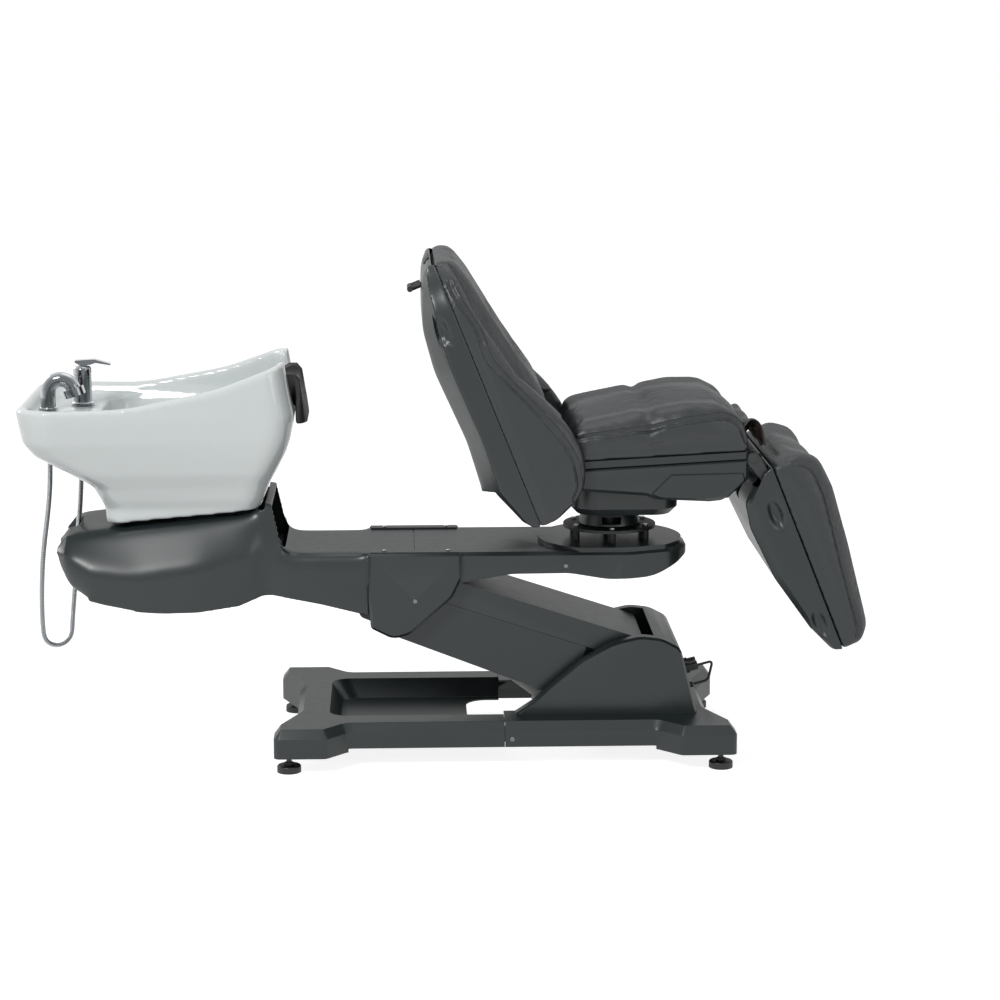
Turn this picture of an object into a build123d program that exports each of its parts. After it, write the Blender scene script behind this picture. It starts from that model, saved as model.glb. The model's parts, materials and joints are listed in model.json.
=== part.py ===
from build123d import *
import math
import os

# Hair washing bed: a lifting base, a levelled beam with a ceramic basin at its head end,
# and a swivelling chair with a reclining back and a leg rest.
# Millimetres. +X points to the feet, +Y away from the side the photograph shows, +Z up.
# The origin is on the floor, under the middle of the whole bed.

# Shared sizes
overrun = 30.0
cover_wall = 4.0
running_clearance = 0.05
soft_gap = 0.5
part_gap = 1.5
screw_head_radius = 5.0
screw_head_height = 2.4
screw_shank_radius = 2.4
screw_length = 12.0
screw_slot = 1.2

# Base
base_length = 1040.0
base_width = 600.0
base_left = -380.0
base_bottom = 38.0
base_top = 103.0
base_chamfer_height = 20.0
base_chamfer_run = 15.0
base_seam = 140.0
seam_gap = 0.8
waist_lift = 8.0
base_plan_shares = [
    (0.045, 0.200, 0.115),
    (0.000, 0.392, 0.038),
    (0.000, 0.500, 0.024),
    (0.113, 0.500, 0.028),
    (0.160, 0.408, 0.043),
    (0.829, 0.408, 0.043),
    (0.880, 0.500, 0.028),
    (1.000, 0.500, 0.024),
    (1.000, 0.392, 0.038),
    (0.954, 0.200, 0.115),
]
tray_left = -258.0
tray_half_width = 170.0
tray_corner = 42.0
tray_depth = 42.0
tray_slope = 24.0
window_left = 60.0
window_half_width = 126.0
window_corner = 50.0

# Levelling feet
foot_x_left = -347.0
foot_x_right = 627.0
foot_y = 262.0
foot_radius = 27.0
foot_height = 16.0
foot_stud_radius = 6.0
foot_nut_radius = 11.0
foot_nut_height = 6.0

# Steel frame of the base
frame_bottom = 48.0
frame_height = 30.0
frame_tube_width = 30.0
frame_rail_y = 192.0
frame_end_inset = 52.0
frame_plate = 5.0

# Lift pivots
base_pivot_x = 466.0
base_pivot_z = 181.0
beam_pivot_x = -61.0
beam_pivot_z = 368.0
pivot_pin_radius = 12.0
pivot_barrel_radius = 22.0
pivot_collar_radius = 18.0
pivot_collar_width = 5.0
tie_drop_x = -24.0
tie_drop_z = -72.0
tie_pin_radius = 8.0
tie_eye_radius = 17.0
tie_bar_y = 60.0
tie_bar_thickness = 14.0
tie_bar_height = 22.0
tie_open_clearance = 0.6

# Tower of the rear cover
tower_left = 140.0
tower_length = 446.0
tower_height = 178.0
tower_half_width = 173.0
tower_side_draft = 9.0
tower_cheek = 33.0
tower_slot_right = 484.0
tower_shares = [
    (-0.015, -0.120, 0.000),
    (1.012, -0.120, 0.000),
    (0.985, 0.050, 0.080),
    (0.905, 0.840, 0.170),
    (0.810, 0.965, 0.350),
    (0.700, 1.000, 0.500),
    (0.560, 0.920, 0.800),
    (0.395, 0.690, 0.900),
    (0.225, 0.330, 0.300),
    (0.150, 0.150, 0.250),
]

# Lift arm
arm_half_width = 128.0
arm_cover_wall = 3.0
arm_bar_y = 92.0
arm_bar_thickness = 10.0
arm_bar_height = 56.0
arm_tube_shares = (0.25, 0.74)
arm_top_at_beam = 64.0
arm_top_at_base = 79.0
arm_seam_at_beam = 8.0
arm_seam_at_base = 22.0
arm_low_at_beam = -101.0
arm_low_at_base = -117.0
arm_beam_end = 62.0
arm_low_cover_end = 150.0
arm_top_cover_end = 30.0
arm_window_start = 105.0
arm_window_end = 402.0
arm_window_half_width = 50.0

# Lift actuator
lift_motor_x = 295.0
lift_motor_z = 68.0
lift_rod_x = 40.0
lift_rod_z = 262.0
actuator_tube_radius = 22.0
actuator_rod_radius = 10.0
actuator_motor_radius = 30.0
actuator_motor_length = 64.0
actuator_eye_radius = 16.0
actuator_eye_half_width = 11.0
actuator_pin_radius = 6.0
actuator_open_clearance = 8.0
lift_tube_length = 172.0
lift_lead = 36.0

# Beam
beam_left = -866.0
beam_right = 566.0
beam_half_width = 153.0
beam_top = 476.0
beam_wall = 4.0
beam_seam = -62.0
beam_edge = 8.0
beam_rail_inner = 131.0
beam_rail_outer = 146.0
beam_rail_low = 434.0
beam_rail_high = 466.0
platform_rise = 8.0
platform_disc_radius = 166.0
platform_low_shares = [
    (-0.090, -0.720, 0.200),
    (0.170, -0.690, 0.600),
    (0.350, -0.500, 1.500),
    (0.560, -0.490, 1.500),
    (0.700, -0.640, 2.000),
    (0.870, -0.620, 1.200),
    (1.020, -0.180, 0.400),
]
platform_share_height = 100.0
platform_open_reach = 28.0
platform_nose = 136.0

# Pedestal cover: each row is a place along the cover, then top height and half width,
# ridge height and half width, and bottom height and half width, as shares of its sizes
pedestal_length = 804.0
pedestal_low = 330.0
pedestal_height = 262.0
pedestal_half_width = 210.0
pedestal_shares = [
    (0.000, 0.650, 0.640, 0.570, 0.740, 0.500, 0.660),
    (0.026, 0.745, 0.690, 0.560, 0.890, 0.365, 0.790),
    (0.095, 0.765, 0.710, 0.420, 0.980, 0.240, 0.870),
    (0.219, 0.810, 0.710, 0.365, 1.000, 0.120, 0.890),
    (0.405, 0.870, 0.710, 0.445, 0.975, 0.120, 0.860),
    (0.548, 0.920, 0.710, 0.560, 0.850, 0.180, 0.770),
    (0.582, 0.995, 0.700, 0.552, 0.735, 0.192, 0.710),
    (0.600, 0.985, 0.695, 0.550, 0.729, 0.190, 0.705),
    (0.622, 0.680, 0.715, 0.520, 0.729, 0.180, 0.720),
    (0.645, 0.557, 0.729, 0.480, 0.729, 0.165, 0.729),
    (0.735, 0.557, 0.729, 0.480, 0.729, 0.110, 0.729),
    (0.871, 0.557, 0.729, 0.480, 0.729, 0.005, 0.729),
    (1.000, 0.557, 0.729, 0.480, 0.729, 0.010, 0.729),
]
pedestal_open_from = 0.872
pedestal_notch_depth = 40.0
pedestal_notch_half_width = 66.0
pedestal_drain_radius = 30.0

# Wing covers beside the arm
wing_left = -166.0
wing_length = 210.0
wing_low = 279.0
wing_height = 198.0
wing_reach = 15.0
wing_wall = 3.0
wing_tab_depth = 24.0
wing_tab_height = 3.0
wing_tab_screw_shares = (0.17, 0.86)
beam_screw_share = 2.13
wing_shares = [
    (0.000, 0.440, 0.060),
    (0.020, 0.130, 0.060),
    (0.260, 0.000, 0.200),
    (0.440, 0.055, 0.200),
    (0.900, 0.480, 0.200),
    (1.000, 0.700, 0.150),
    (1.000, 1.000, 0.020),
    (0.000, 1.000, 0.020),
]

# Basin
basin_left = -946.0
basin_length = 617.0
basin_low = 520.0
basin_height = 390.0
basin_half_width = 268.0
basin_wall = 18.0
basin_skin = 12.0
basin_plan_shares = [
    (0.308, 0.865, 0.560, 0.560, 0.000),
    (0.304, 0.872, 0.575, 0.575, 0.155),
    (0.290, 0.885, 0.620, 0.610, 0.205),
    (0.262, 0.905, 0.680, 0.640, 0.290),
    (0.180, 0.932, 0.760, 0.680, 0.370),
    (0.060, 0.968, 0.840, 0.705, 0.480),
    (0.022, 0.985, 0.900, 0.715, 0.560),
    (0.008, 1.000, 0.960, 0.720, 0.690),
    (0.000, 0.985, 1.000, 0.715, 0.800),
    (-0.004, 0.962, 1.005, 0.700, 1.020),
]
basin_corner_share = 0.300
basin_rim_shares = [
    (-0.100, 0.762, 0.000),
    (0.400, 0.762, 1.200),
    (0.720, 0.860, 1.200),
    (1.100, 1.080, 0.000),
]
basin_foot_shares = [
    (0.200, 0.045, 0.000),
    (1.100, 0.180, 0.000),
]
bowl_shares = [
    (0.420, 0.690, 0.300, 0.300, 0.300),
    (0.360, 0.800, 0.560, 0.480, 0.360),
    (0.310, 0.880, 0.720, 0.600, 0.500),
    (0.285, 0.925, 0.800, 0.640, 0.690),
]
deck_shares = [
    (0.055, 0.940, 0.880, 0.640, 0.690),
    (0.035, 0.940, 0.930, 0.640, 0.760),
    (0.030, 0.930, 0.930, 0.630, 1.060),
]
drain_x_share = 0.500
drain_radius = 22.0
drain_tail_radius = 19.0
drain_tail_low = 350.0
notch_half_width = 92.0
notch_low = 800.0
notch_radius = 70.0
notch_reach = 130.0

# Mixer, spray handset and their hoses
mixer_x = -820.0
mixer_y = 45.0
mixer_radius = 21.0
mixer_base_radius = 26.0
mixer_base_height = 8.0
mixer_body_height = 62.0
mixer_cap_height = 20.0
mixer_tail_radius = 5.5
mixer_tail_length = 104.0
mixer_hole_radius = 16.0
lever_length = 66.0
lever_width = 22.0
lever_thickness = 7.0
lever_axis_drop = 6.0
lever_pin_radius = 2.0
handset_x = -888.0
handset_y = -45.0
handset_radius = 17.0
handset_socket_radius = 21.0
handset_socket_height = 10.0
handset_rise = 62.0
handset_reach = 58.0
handset_face_radius = 24.0
handset_face_depth = 18.0
handset_tail_radius = 12.0
handset_sleeve = 102.0
arc_share = 0.45
hose_radius = 7.0
hose_bore_radius = 4.5
hose_rib_depth = 0.8
hose_nut_radius = 10.0
hose_nut_length = 22.0
supply_x = -735.0
supply_gap = 26.0
supply_radius = 5.5
supply_knee = 600.0
supply_low = 470.0

# Neck rest
neck_thickness = 14.0
neck_length = 100.0
neck_flange = 12.0
neck_drop = 38.0

# Power panel
panel_low_share = 0.2
panel_high_share = 0.60
panel_thickness = 5.0
panel_half_width = 58.0
plug_radius = 13.0
plug_length = 30.0
gland_share = 0.11
gland_length = 14.0
cable_radius = 3.0
cable_reach = 36.0
cable_bend = 16.0

# Swivel between the beam and the chair
swivel_x = 391.0
swivel_plate_radius = 107.0
swivel_plate_low = 507.0
swivel_plate_thickness = 8.0
swivel_spacer_radius = 8.0
swivel_bolt_radius = 4.0
swivel_bolt_circle = 92.0
swivel_bolt_count = 6
swivel_nut_radius = 11.0
spindle_radius = 28.0
cone_low_radius = 72.0
cone_high_radius = 61.0
cone_wall = 4.0
cone_window_half_width = 22.0
cone_window_height = 16.0

# Chair seat
seat_left = 287.0
seat_length = 396.0
seat_half_width = 245.0
seat_base = 697.0
seat_base_rise = 22.0
seat_trim = 16.0
seat_shell_low = 606.0
seat_shell_shares = [
    (0.030, 0.340, 0.120),
    (0.420, 0.190, 0.300),
    (0.470, 0.080, 0.300),
    (0.780, 0.000, 0.300),
    (0.850, 0.040, 0.300),
    (0.930, 0.330, 0.300),
    (1.000, 0.700, 0.100),
]
seat_pan_low = 560.0
seat_pan_left = 292.0
seat_pan_length = 244.0
seat_pan_half_width = 170.0
seat_panel_shares = [
    (0.440, 0.250, 0.060),
    (0.500, 0.110, 0.060),
    (0.760, 0.060, 0.060),
    (0.880, 0.120, 0.060),
    (0.980, 0.640, 0.060),
    (0.970, 0.900, 0.060),
    (0.560, 0.860, 0.060),
]
seat_panel_rise = 4.0
seat_cushion_height = 112.0
seat_cushion_shares = [
    (0.004, 0.005, 0.030),
    (0.990, 0.198, 0.030),
    (1.000, 0.420, 0.250),
    (0.965, 0.860, 0.420),
    (0.830, 1.080, 0.500),
    (0.640, 1.080, 0.500),
    (0.480, 0.980, 0.120),
    (0.430, 0.880, 0.080),
    (0.385, 0.930, 0.120),
    (0.200, 0.800, 0.500),
    (0.010, 0.660, 0.240),
]
seat_frame_tube = 24.0
recline_arm_y = 186.0
actuator_y = 80.0
actuator_small = 0.8
recline_motor_x = 470.0
recline_motor_z = 604.0
recline_tube_length = 200.0
recline_lead = 84.0
leg_motor_x = 500.0
leg_motor_z = 642.0
leg_rod_x = 715.0
leg_rod_z = 642.0
leg_tube_length = 140.0
leg_lead = 6.0

# Backrest: measured up its own seam line and forward from it
back_seam_x = 220.0
back_seam_z = 562.0
back_top_x = -16.0
back_top_z = 1147.0
back_half_width = 283.0
back_gap_half_width = 250.0
back_pivot_x = 200.0
back_pivot_z = 698.0
back_pin_radius = 8.0
back_wall = 4.0
back_clear_radius = 74.0
back_centre_start = 118.0
back_shell_shares = [
    (-0.008, -0.020, 0.030),
    (-0.002, -0.150, 0.060),
    (0.030, -0.270, 0.100),
    (0.160, -0.500, 0.080),
    (0.345, -0.450, 0.400),
    (0.620, -0.490, 0.400),
    (0.780, -0.430, 0.500),
    (0.960, -0.200, 0.350),
    (1.000, -0.020, 0.060),
]
back_depth = 200.0
back_reach_share = 0.998
back_round_share = 0.21
back_side_share = 0.560
back_cushion_shares = [
    (0.256, -0.010, 0.020),
    (0.985, -0.010, 0.020),
    (0.975, 0.150, 0.100),
    (0.880, 0.235, 0.500),
    (0.640, 0.360, 1.000),
    (0.440, 0.500, 0.700),
    (0.285, 0.510, 0.250),
    (0.254, 0.380, 0.150),
]
back_bolster_shares = [
    (-0.004, -0.010, 0.020),
    (1.000, -0.010, 0.020),
    (0.990, 0.120, 0.080),
    (0.780, 0.170, 1.000),
    (0.520, 0.340, 1.000),
    (0.300, 0.680, 0.600),
    (0.180, 0.740, 0.500),
    (0.050, 0.600, 0.500),
    (-0.006, 0.180, 0.200),
]
back_bolster_inner = 205.0
back_link_x = 116.0
back_link_z = 658.0

# Leg rest: measured down its own seam line and forward from it
leg_seam_x = 734.0
leg_seam_z = 688.0
leg_end_x = 904.0
leg_end_z = 265.0
leg_half_width = 250.0
leg_pivot_x = 690.0
leg_pivot_z = 705.0
leg_pin_radius = 7.0
leg_ear_y = 226.0
leg_bolt_drop = 70.0
leg_depth = 100.0
leg_wall = 4.0
leg_shell_shares = [
    (0.000, -0.020, 0.030),
    (0.020, -0.300, 0.080),
    (0.130, -0.860, 0.200),
    (0.260, -0.960, 0.300),
    (0.540, -0.860, 0.500),
    (0.840, -0.520, 0.500),
    (0.985, -0.240, 0.120),
    (1.000, -0.020, 0.020),
]
leg_cushion_shares = [
    (0.006, 0.010, 0.020),
    (0.998, 0.010, 0.020),
    (1.004, 0.420, 0.200),
    (0.940, 0.640, 0.300),
    (0.520, 0.880, 1.500),
    (0.230, 1.000, 1.000),
    (0.060, 0.950, 0.350),
    (-0.004, 0.560, 0.300),
]


def corner_list(shares, low_x, size_x, low_y, size_y):
    return [(low_x + size_x * x, low_y + size_y * y, size_y * r) for x, y, r in shares]


def inset(corners, amount):
    # Moves every side of a loop that runs against the clock inwards by the amount
    moved = []
    count = len(corners)
    for index, (x, y, radius) in enumerate(corners):
        here = Vector(x, y)
        before = Vector(*corners[index - 1][:2])
        after = Vector(*corners[(index + 1) % count][:2])
        come = (here - before).normalized()
        leave = (after - here).normalized()
        come_side = Vector(-come.Y, come.X)
        leave_side = Vector(-leave.Y, leave.X)
        middle = (come_side + leave_side) / (1 + come_side.dot(leave_side))
        left_turn = come.X * leave.Y - come.Y * leave.X > 0
        new_radius = radius
        if radius > 0:
            new_radius = max(radius - amount, radius / 5) if left_turn else radius + amount
        moved.append((x + middle.X * amount, y + middle.Y * amount, new_radius))
    return moved


def rounded_face(corners):
    # Straight runs joined by tangent arcs; a radius is limited by the runs beside it
    count = len(corners)
    points = [Vector(x, y) for x, y, radius in corners]
    arcs = []
    for index, (x, y, radius) in enumerate(corners):
        here = points[index]
        back = points[index - 1] - here
        ahead = points[(index + 1) % count] - here
        half = math.radians(back.get_angle(ahead)) / 2
        reach = min(radius / math.tan(half), 0.49 * back.length, 0.49 * ahead.length)
        if radius <= 0:
            arcs.append((here, None, here))
            continue
        radius = reach * math.tan(half)
        one = back.normalized()
        two = ahead.normalized()
        middle = here + (one + two).normalized() * (radius / math.sin(half) - radius)
        arcs.append((here + one * reach, middle, here + two * reach))
    edges = []
    for index, (start, middle, end) in enumerate(arcs):
        if middle is not None:
            edges.append(ThreePointArc(start, middle, end))
        edges.append(Line(end, arcs[(index + 1) % count][0]))
    return make_face(edges)


def slab(corners, y_low, y_high):
    # A side outline in X and Z, carried from one Y to another
    face = Pos(0, 0, -y_high) * rounded_face(corners)
    return Plane.XZ.location * extrude(face, amount=y_high - y_low, dir=(0, 0, 1))


def plate(corners, z_low, z_high):
    # A plan outline in X and Y, carried from one Z to another
    face = Pos(0, 0, z_low) * rounded_face(corners)
    return extrude(face, amount=z_high - z_low, dir=(0, 0, 1))


def plan_loft(sections):
    # Plan outlines at their heights, joined by straight sides
    return loft([Pos(0, 0, z) * rounded_face(corners) for corners, z in sections], ruled=True)


def side_loft(sections, ruled=False):
    # Side outlines at their places across the bed
    faces = [Plane.XZ.location * (Pos(0, 0, -y) * rounded_face(corners)) for corners, y in sections]
    return loft(faces, ruled=ruled)


def block(x_low, x_high, y_low, y_high, z_low, z_high):
    size = Box(x_high - x_low, y_high - y_low, z_high - z_low, align=(Align.MIN, Align.MIN, Align.MIN))
    return Pos(x_low, y_low, z_low) * size


def rod(start, end, radius):
    start = Vector(*start)
    span = Vector(*end) - start
    cylinder = Cylinder(radius, span.length, align=(Align.CENTER, Align.CENTER, Align.MIN))
    return Plane(origin=start, z_dir=span).location * cylinder


def cross_pin(x, z, radius, half_length):
    return rod((x, -half_length, z), (x, half_length, z), radius)


def both_sides(shape):
    return shape + mirror(shape, about=Plane.XZ)


def mirrored_plan(half):
    # Completes a loop whose half is given from the left end to the right one, on the far side
    near = [(x, -y, r) for x, y, r in half]
    return near + [(x, y, r) for x, y, r in reversed(half)]


def screw(x, y, z, direction):
    # A pan head cross screw whose head seats at the place given and whose shank runs the other way
    head = Cylinder(screw_head_radius, screw_head_height, align=(Align.CENTER, Align.CENTER, Align.MIN))
    head = fillet(head.edges().sort_by(Axis.Z)[-1], screw_head_height * 0.6)
    slot = Box(screw_head_radius * 1.2, screw_slot, screw_head_height)
    cross = slot + Rot(0, 0, 90) * slot
    head = head - Pos(0, 0, screw_head_height) * cross
    shank_align = (Align.CENTER, Align.CENTER, Align.MAX)
    shank = Cylinder(screw_shank_radius, screw_length, align=shank_align)
    return Plane(origin=(x, y, z), z_dir=direction).location * (head + shank)


def screw_hole(x, y, z, direction):
    # The clearance hole of such a screw
    start = Vector(x, y, z) - Vector(*direction) * (screw_length * 1.2)
    end = Vector(x, y, z) + Vector(*direction) * screw_length
    return rod(start, end, screw_shank_radius + running_clearance)


nodes = {}


def keep(name, shape):
    nodes[name] = shape


# Base covers
base_plan = mirrored_plan(corner_list(base_plan_shares, base_left, base_length, 0, base_width))


def base_skin():
    break_height = base_top - base_chamfer_height
    rim = inset(base_plan, base_chamfer_run)
    solid = plate(base_plan, base_bottom, break_height)
    return solid + plan_loft([(base_plan, break_height), (rim, base_top)])


def base_hollow():
    break_height = base_top - base_chamfer_height
    inner = inset(base_plan, cover_wall)
    rim = inset(base_plan, cover_wall + base_chamfer_run)
    solid = plate(inner, base_bottom - overrun, break_height - cover_wall / 2)
    return solid + plan_loft([(inner, break_height - cover_wall / 2), (rim, base_top - cover_wall)])


def tray_form(grow):
    top_left = tray_left - grow
    half = tray_half_width + grow
    right = base_seam + overrun
    top = [
        (top_left, -half, tray_corner),
        (right, -half, 0),
        (right, half, 0),
        (top_left, half, tray_corner),
    ]
    low = [
        (top_left + tray_slope, -half + tray_slope, tray_corner),
        (right, -half + tray_slope, 0),
        (right, half - tray_slope, 0),
        (top_left + tray_slope, half - tray_slope, tray_corner),
    ]
    return plan_loft([(low, base_top - tray_depth - grow), (top, base_top)])


def window_form():
    right = tower_slot_right - cover_wall
    corners = [
        (window_left, -window_half_width, window_corner),
        (right, -window_half_width, 0),
        (right, window_half_width, 0),
        (window_left, window_half_width, window_corner),
    ]
    return plate(corners, 0, base_top + overrun)


def waist_cut():
    # The skirt is a little shorter between the corner blocks
    left = base_left + base_length * base_plan_shares[4][0]
    right = base_left + base_length * base_plan_shares[5][0]
    half = base_width / 2 + overrun
    return block(left, right, -half, half, base_bottom - overrun, base_bottom + waist_lift)


def front_base_cover():
    skin = base_skin() - tray_form(0)
    hollow = base_hollow() - tray_form(cover_wall)
    shell = skin - hollow - window_form() - waist_cut()
    half = base_width / 2 + overrun
    keep_box = block(base_left - overrun, base_seam - seam_gap, -half, half, 0, base_top + overrun)
    return shell & keep_box


tower_corners = corner_list(tower_shares, tower_left, tower_length, base_top, tower_height)


def tower_solid():
    top = inset(tower_corners, 0)
    shrunk = inset(tower_corners, tower_side_draft / 2)
    core = tower_half_width - tower_side_draft
    sections = [(shrunk, -tower_half_width), (top, -core), (top, core), (shrunk, tower_half_width)]
    return side_loft(sections, ruled=True)


def rear_base_cover():
    shell = (base_skin() - base_hollow()) + tower_solid()
    inner = inset(tower_corners, cover_wall)
    low = base_bottom - overrun
    reach = [(x, z if z > base_top else low, r) for x, z, r in inner]
    slot_half = tower_half_width - tower_cheek
    shell = shell - slab(reach, -slot_half, slot_half)
    cheek_low = slot_half + cover_wall
    cheek_high = tower_half_width - tower_side_draft / 2 - cover_wall
    shell = shell - both_sides(slab(reach, cheek_low, cheek_high))
    arm_way = block(base_seam - overrun, tower_slot_right, -slot_half, slot_half, 0, base_top + tower_height + overrun)
    shell = shell - arm_way - waist_cut()
    for place in base_screw_places():
        shell -= screw_hole(*place)
    half = base_width / 2 + overrun
    keep_box = block(base_seam, base_left + base_length + overrun, -half, half, 0, base_top + tower_height + overrun)
    return shell & keep_box


def base_screw_places():
    height = (base_bottom + waist_lift + base_top - base_chamfer_height) / 2
    face = base_plan_shares[4][1] * base_width
    return [(base_seam + foot_radius * 0.6, side * face, height, (0, side, 0)) for side in (-1, 1)]


def base_cover_screws():
    return Compound([screw(*place) for place in base_screw_places()])


def bar_pair(corners, y_low, thickness):
    return both_sides(slab(corners, y_low, y_low + thickness))


def pin_pair(x, z, radius, y_low, y_high):
    return both_sides(rod((x, y_low, z), (x, y_high, z), radius))


def base_frame():
    rail_y = frame_rail_y
    half = frame_tube_width / 2
    top = frame_bottom + frame_height
    end_half = foot_y + half
    pieces = both_sides(block(foot_x_left, foot_x_right, rail_y - half, rail_y + half, frame_bottom, top))
    for x in (foot_x_left, foot_x_right):
        pieces += both_sides(block(x - half, x + half, rail_y + half, end_half, frame_bottom, top))
    inside = rail_y - half
    for x in (foot_x_left + frame_end_inset, foot_x_right - frame_end_inset):
        pieces += block(x - half, x + half, -inside, inside, frame_bottom, frame_bottom + frame_plate * 2)
    rear_x = base_pivot_x + pivot_barrel_radius * 3
    for x in (lift_motor_x, rear_x):
        pieces += block(x - half, x + half, -rail_y, rail_y, frame_bottom - frame_plate, frame_bottom)
    post_y = rail_y + half
    for x in (foot_x_left, foot_x_right - foot_nut_radius):
        pieces += both_sides(block(
            x, x + foot_nut_radius, post_y, post_y + foot_nut_radius * 2, top, base_top - cover_wall
        ))
    for x in (foot_x_left, foot_x_right):
        for y in (-foot_y, foot_y):
            pieces -= rod((x, y, 0), (x, y, top + overrun), foot_stud_radius + running_clearance)
    # Uprights that carry the main pivot
    inner = arm_half_width + part_gap
    upright = [
        (base_pivot_x - rail_y / 2, frame_bottom, 0),
        (base_pivot_x + rail_y / 3, frame_bottom, 0),
        (base_pivot_x + pivot_barrel_radius, base_pivot_z + pivot_barrel_radius, pivot_barrel_radius),
        (base_pivot_x - pivot_barrel_radius, base_pivot_z + pivot_barrel_radius, pivot_barrel_radius),
    ]
    pieces += bar_pair(upright, inner, frame_plate)
    foot_plate = block(
        base_pivot_x - rail_y / 2, base_pivot_x + rail_y / 3,
        inner, rail_y, frame_bottom, frame_bottom + frame_plate,
    )
    pieces += both_sides(foot_plate)
    pieces -= cross_pin(base_pivot_x, base_pivot_z, pivot_pin_radius, inner + overrun)
    # Posts of the tie bars, on the rear cross bar
    tie_x = base_pivot_x + tie_drop_x
    tie_z = base_pivot_z + tie_drop_z
    post_outline = [
        (tie_x - tie_eye_radius, frame_bottom - frame_plate, 0),
        (rear_x + half, frame_bottom - frame_plate, 0),
        (tie_x + tie_eye_radius, tie_z + tie_eye_radius, tie_eye_radius),
        (tie_x - tie_eye_radius, tie_z + tie_eye_radius, tie_eye_radius),
    ]
    post_y = tie_bar_y + tie_bar_thickness + part_gap
    pieces += bar_pair(post_outline, post_y, frame_plate)
    pieces -= cross_pin(tie_x, tie_z, tie_pin_radius, post_y + overrun)
    # Clevis of the lift actuator, on the front cross bar
    clevis = actuator_eye_half_width + part_gap
    eye = actuator_eye_radius
    ear = [
        (lift_motor_x - eye, frame_bottom - frame_plate, 0),
        (lift_motor_x + eye, frame_bottom - frame_plate, 0),
        (lift_motor_x + eye, lift_motor_z + eye, eye * 0.9),
        (lift_motor_x - eye, lift_motor_z + eye, eye * 0.9),
    ]
    pieces += bar_pair(ear, clevis, frame_plate)
    pieces -= cross_pin(lift_motor_x, lift_motor_z, actuator_pin_radius, clevis + overrun)
    return pieces


def levelling_foot(x, y):
    pad = rod((x, y, 0), (x, y, foot_height), foot_radius)
    pad = fillet(pad.edges().group_by(Axis.Z)[-1], foot_height / 4)
    nut_face = RegularPolygon(foot_nut_radius, 6)
    nut = Pos(x, y, foot_height) * extrude(nut_face, amount=foot_nut_height)
    stud = rod((x, y, foot_height), (x, y, frame_bottom + frame_height + foot_nut_height), foot_stud_radius)
    return pad + nut + stud


def base_pivot_pins():
    main = cross_pin(base_pivot_x, base_pivot_z, pivot_pin_radius, arm_half_width + part_gap + frame_plate)
    post_y = tie_bar_y + tie_bar_thickness + part_gap
    ties = pin_pair(
        base_pivot_x + tie_drop_x, base_pivot_z + tie_drop_z, tie_pin_radius, tie_bar_y, post_y + frame_plate
    )
    motor_reach = actuator_eye_half_width + part_gap + frame_plate
    motor = cross_pin(lift_motor_x, lift_motor_z, actuator_pin_radius, motor_reach)
    return Compound([main, motor] + ties.solids())


# Lift arm: heights are measured square to the line between its two pivots
arm_span_x = beam_pivot_x - base_pivot_x
arm_span_z = beam_pivot_z - base_pivot_z
arm_length = math.hypot(arm_span_x, arm_span_z)
arm_frame_place = Plane(
    origin=(base_pivot_x, 0, base_pivot_z),
    x_dir=(arm_span_x, 0, arm_span_z),
    z_dir=(0, 1, 0),
)


def arm_point(along, height):
    # A place on the arm: how far from the base pivot, and how far above the pivot line
    x = arm_span_x / arm_length
    z = arm_span_z / arm_length
    return (base_pivot_x + along * x + height * z, base_pivot_z + along * z - height * x)


def arm_outline(spots):
    points = [arm_point(along, height) + (radius,) for along, height, radius in spots]
    area = 0
    for index, (x, z, radius) in enumerate(points):
        area += points[index - 1][0] * z - x * points[index - 1][1]
    return points if area > 0 else points[::-1]


def arm_height(at_base, at_beam, along):
    return at_base + (at_beam - at_base) * along / arm_length


def arm_frame():
    ends = [
        (-arm_bar_height / 2, -arm_bar_height / 2, arm_bar_height * 0.45),
        (arm_length + arm_bar_height / 2, -arm_bar_height / 2, arm_bar_height * 0.45),
        (arm_length + arm_bar_height / 2, arm_bar_height / 2, arm_bar_height * 0.45),
        (-arm_bar_height / 2, arm_bar_height / 2, arm_bar_height * 0.45),
    ]
    bar = arm_outline(ends)
    frame = both_sides(slab(bar, arm_bar_y, arm_bar_y + arm_bar_thickness))
    barrel_half = arm_half_width - arm_cover_wall * 2
    for x, z in ((base_pivot_x, base_pivot_z), (beam_pivot_x, beam_pivot_z)):
        frame += cross_pin(x, z, pivot_barrel_radius, barrel_half)
    for share in arm_tube_shares:
        x, z = arm_point(arm_length * share, 0)
        frame += cross_pin(x, z, actuator_eye_radius, arm_bar_y + arm_bar_thickness / 2)
    # Ears for the rod of the lift actuator
    clevis = actuator_eye_half_width + part_gap * 2
    along = arm_length * arm_tube_shares[1]
    span = Vector(lift_rod_x - base_pivot_x, 0, lift_rod_z - base_pivot_z)
    rod_along = (span.X * arm_span_x + span.Z * arm_span_z) / arm_length
    rod_height = (span.X * arm_span_z - span.Z * arm_span_x) / arm_length
    eye = actuator_eye_radius
    ear = arm_outline([
        (rod_along - eye, rod_height - eye, eye * 0.9),
        (rod_along + eye, rod_height - eye, eye * 0.9),
        (rod_along + eye, eye / 2, 0),
        (along - eye, eye / 2, 0),
    ])
    frame += both_sides(slab(ear, clevis, clevis + frame_plate))
    frame += cross_pin(lift_rod_x, lift_rod_z, actuator_pin_radius, clevis + frame_plate)
    bore = pivot_pin_radius + running_clearance
    for x, z in ((base_pivot_x, base_pivot_z), (beam_pivot_x, beam_pivot_z)):
        frame -= cross_pin(x, z, bore, barrel_half + overrun)
    return frame


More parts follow.
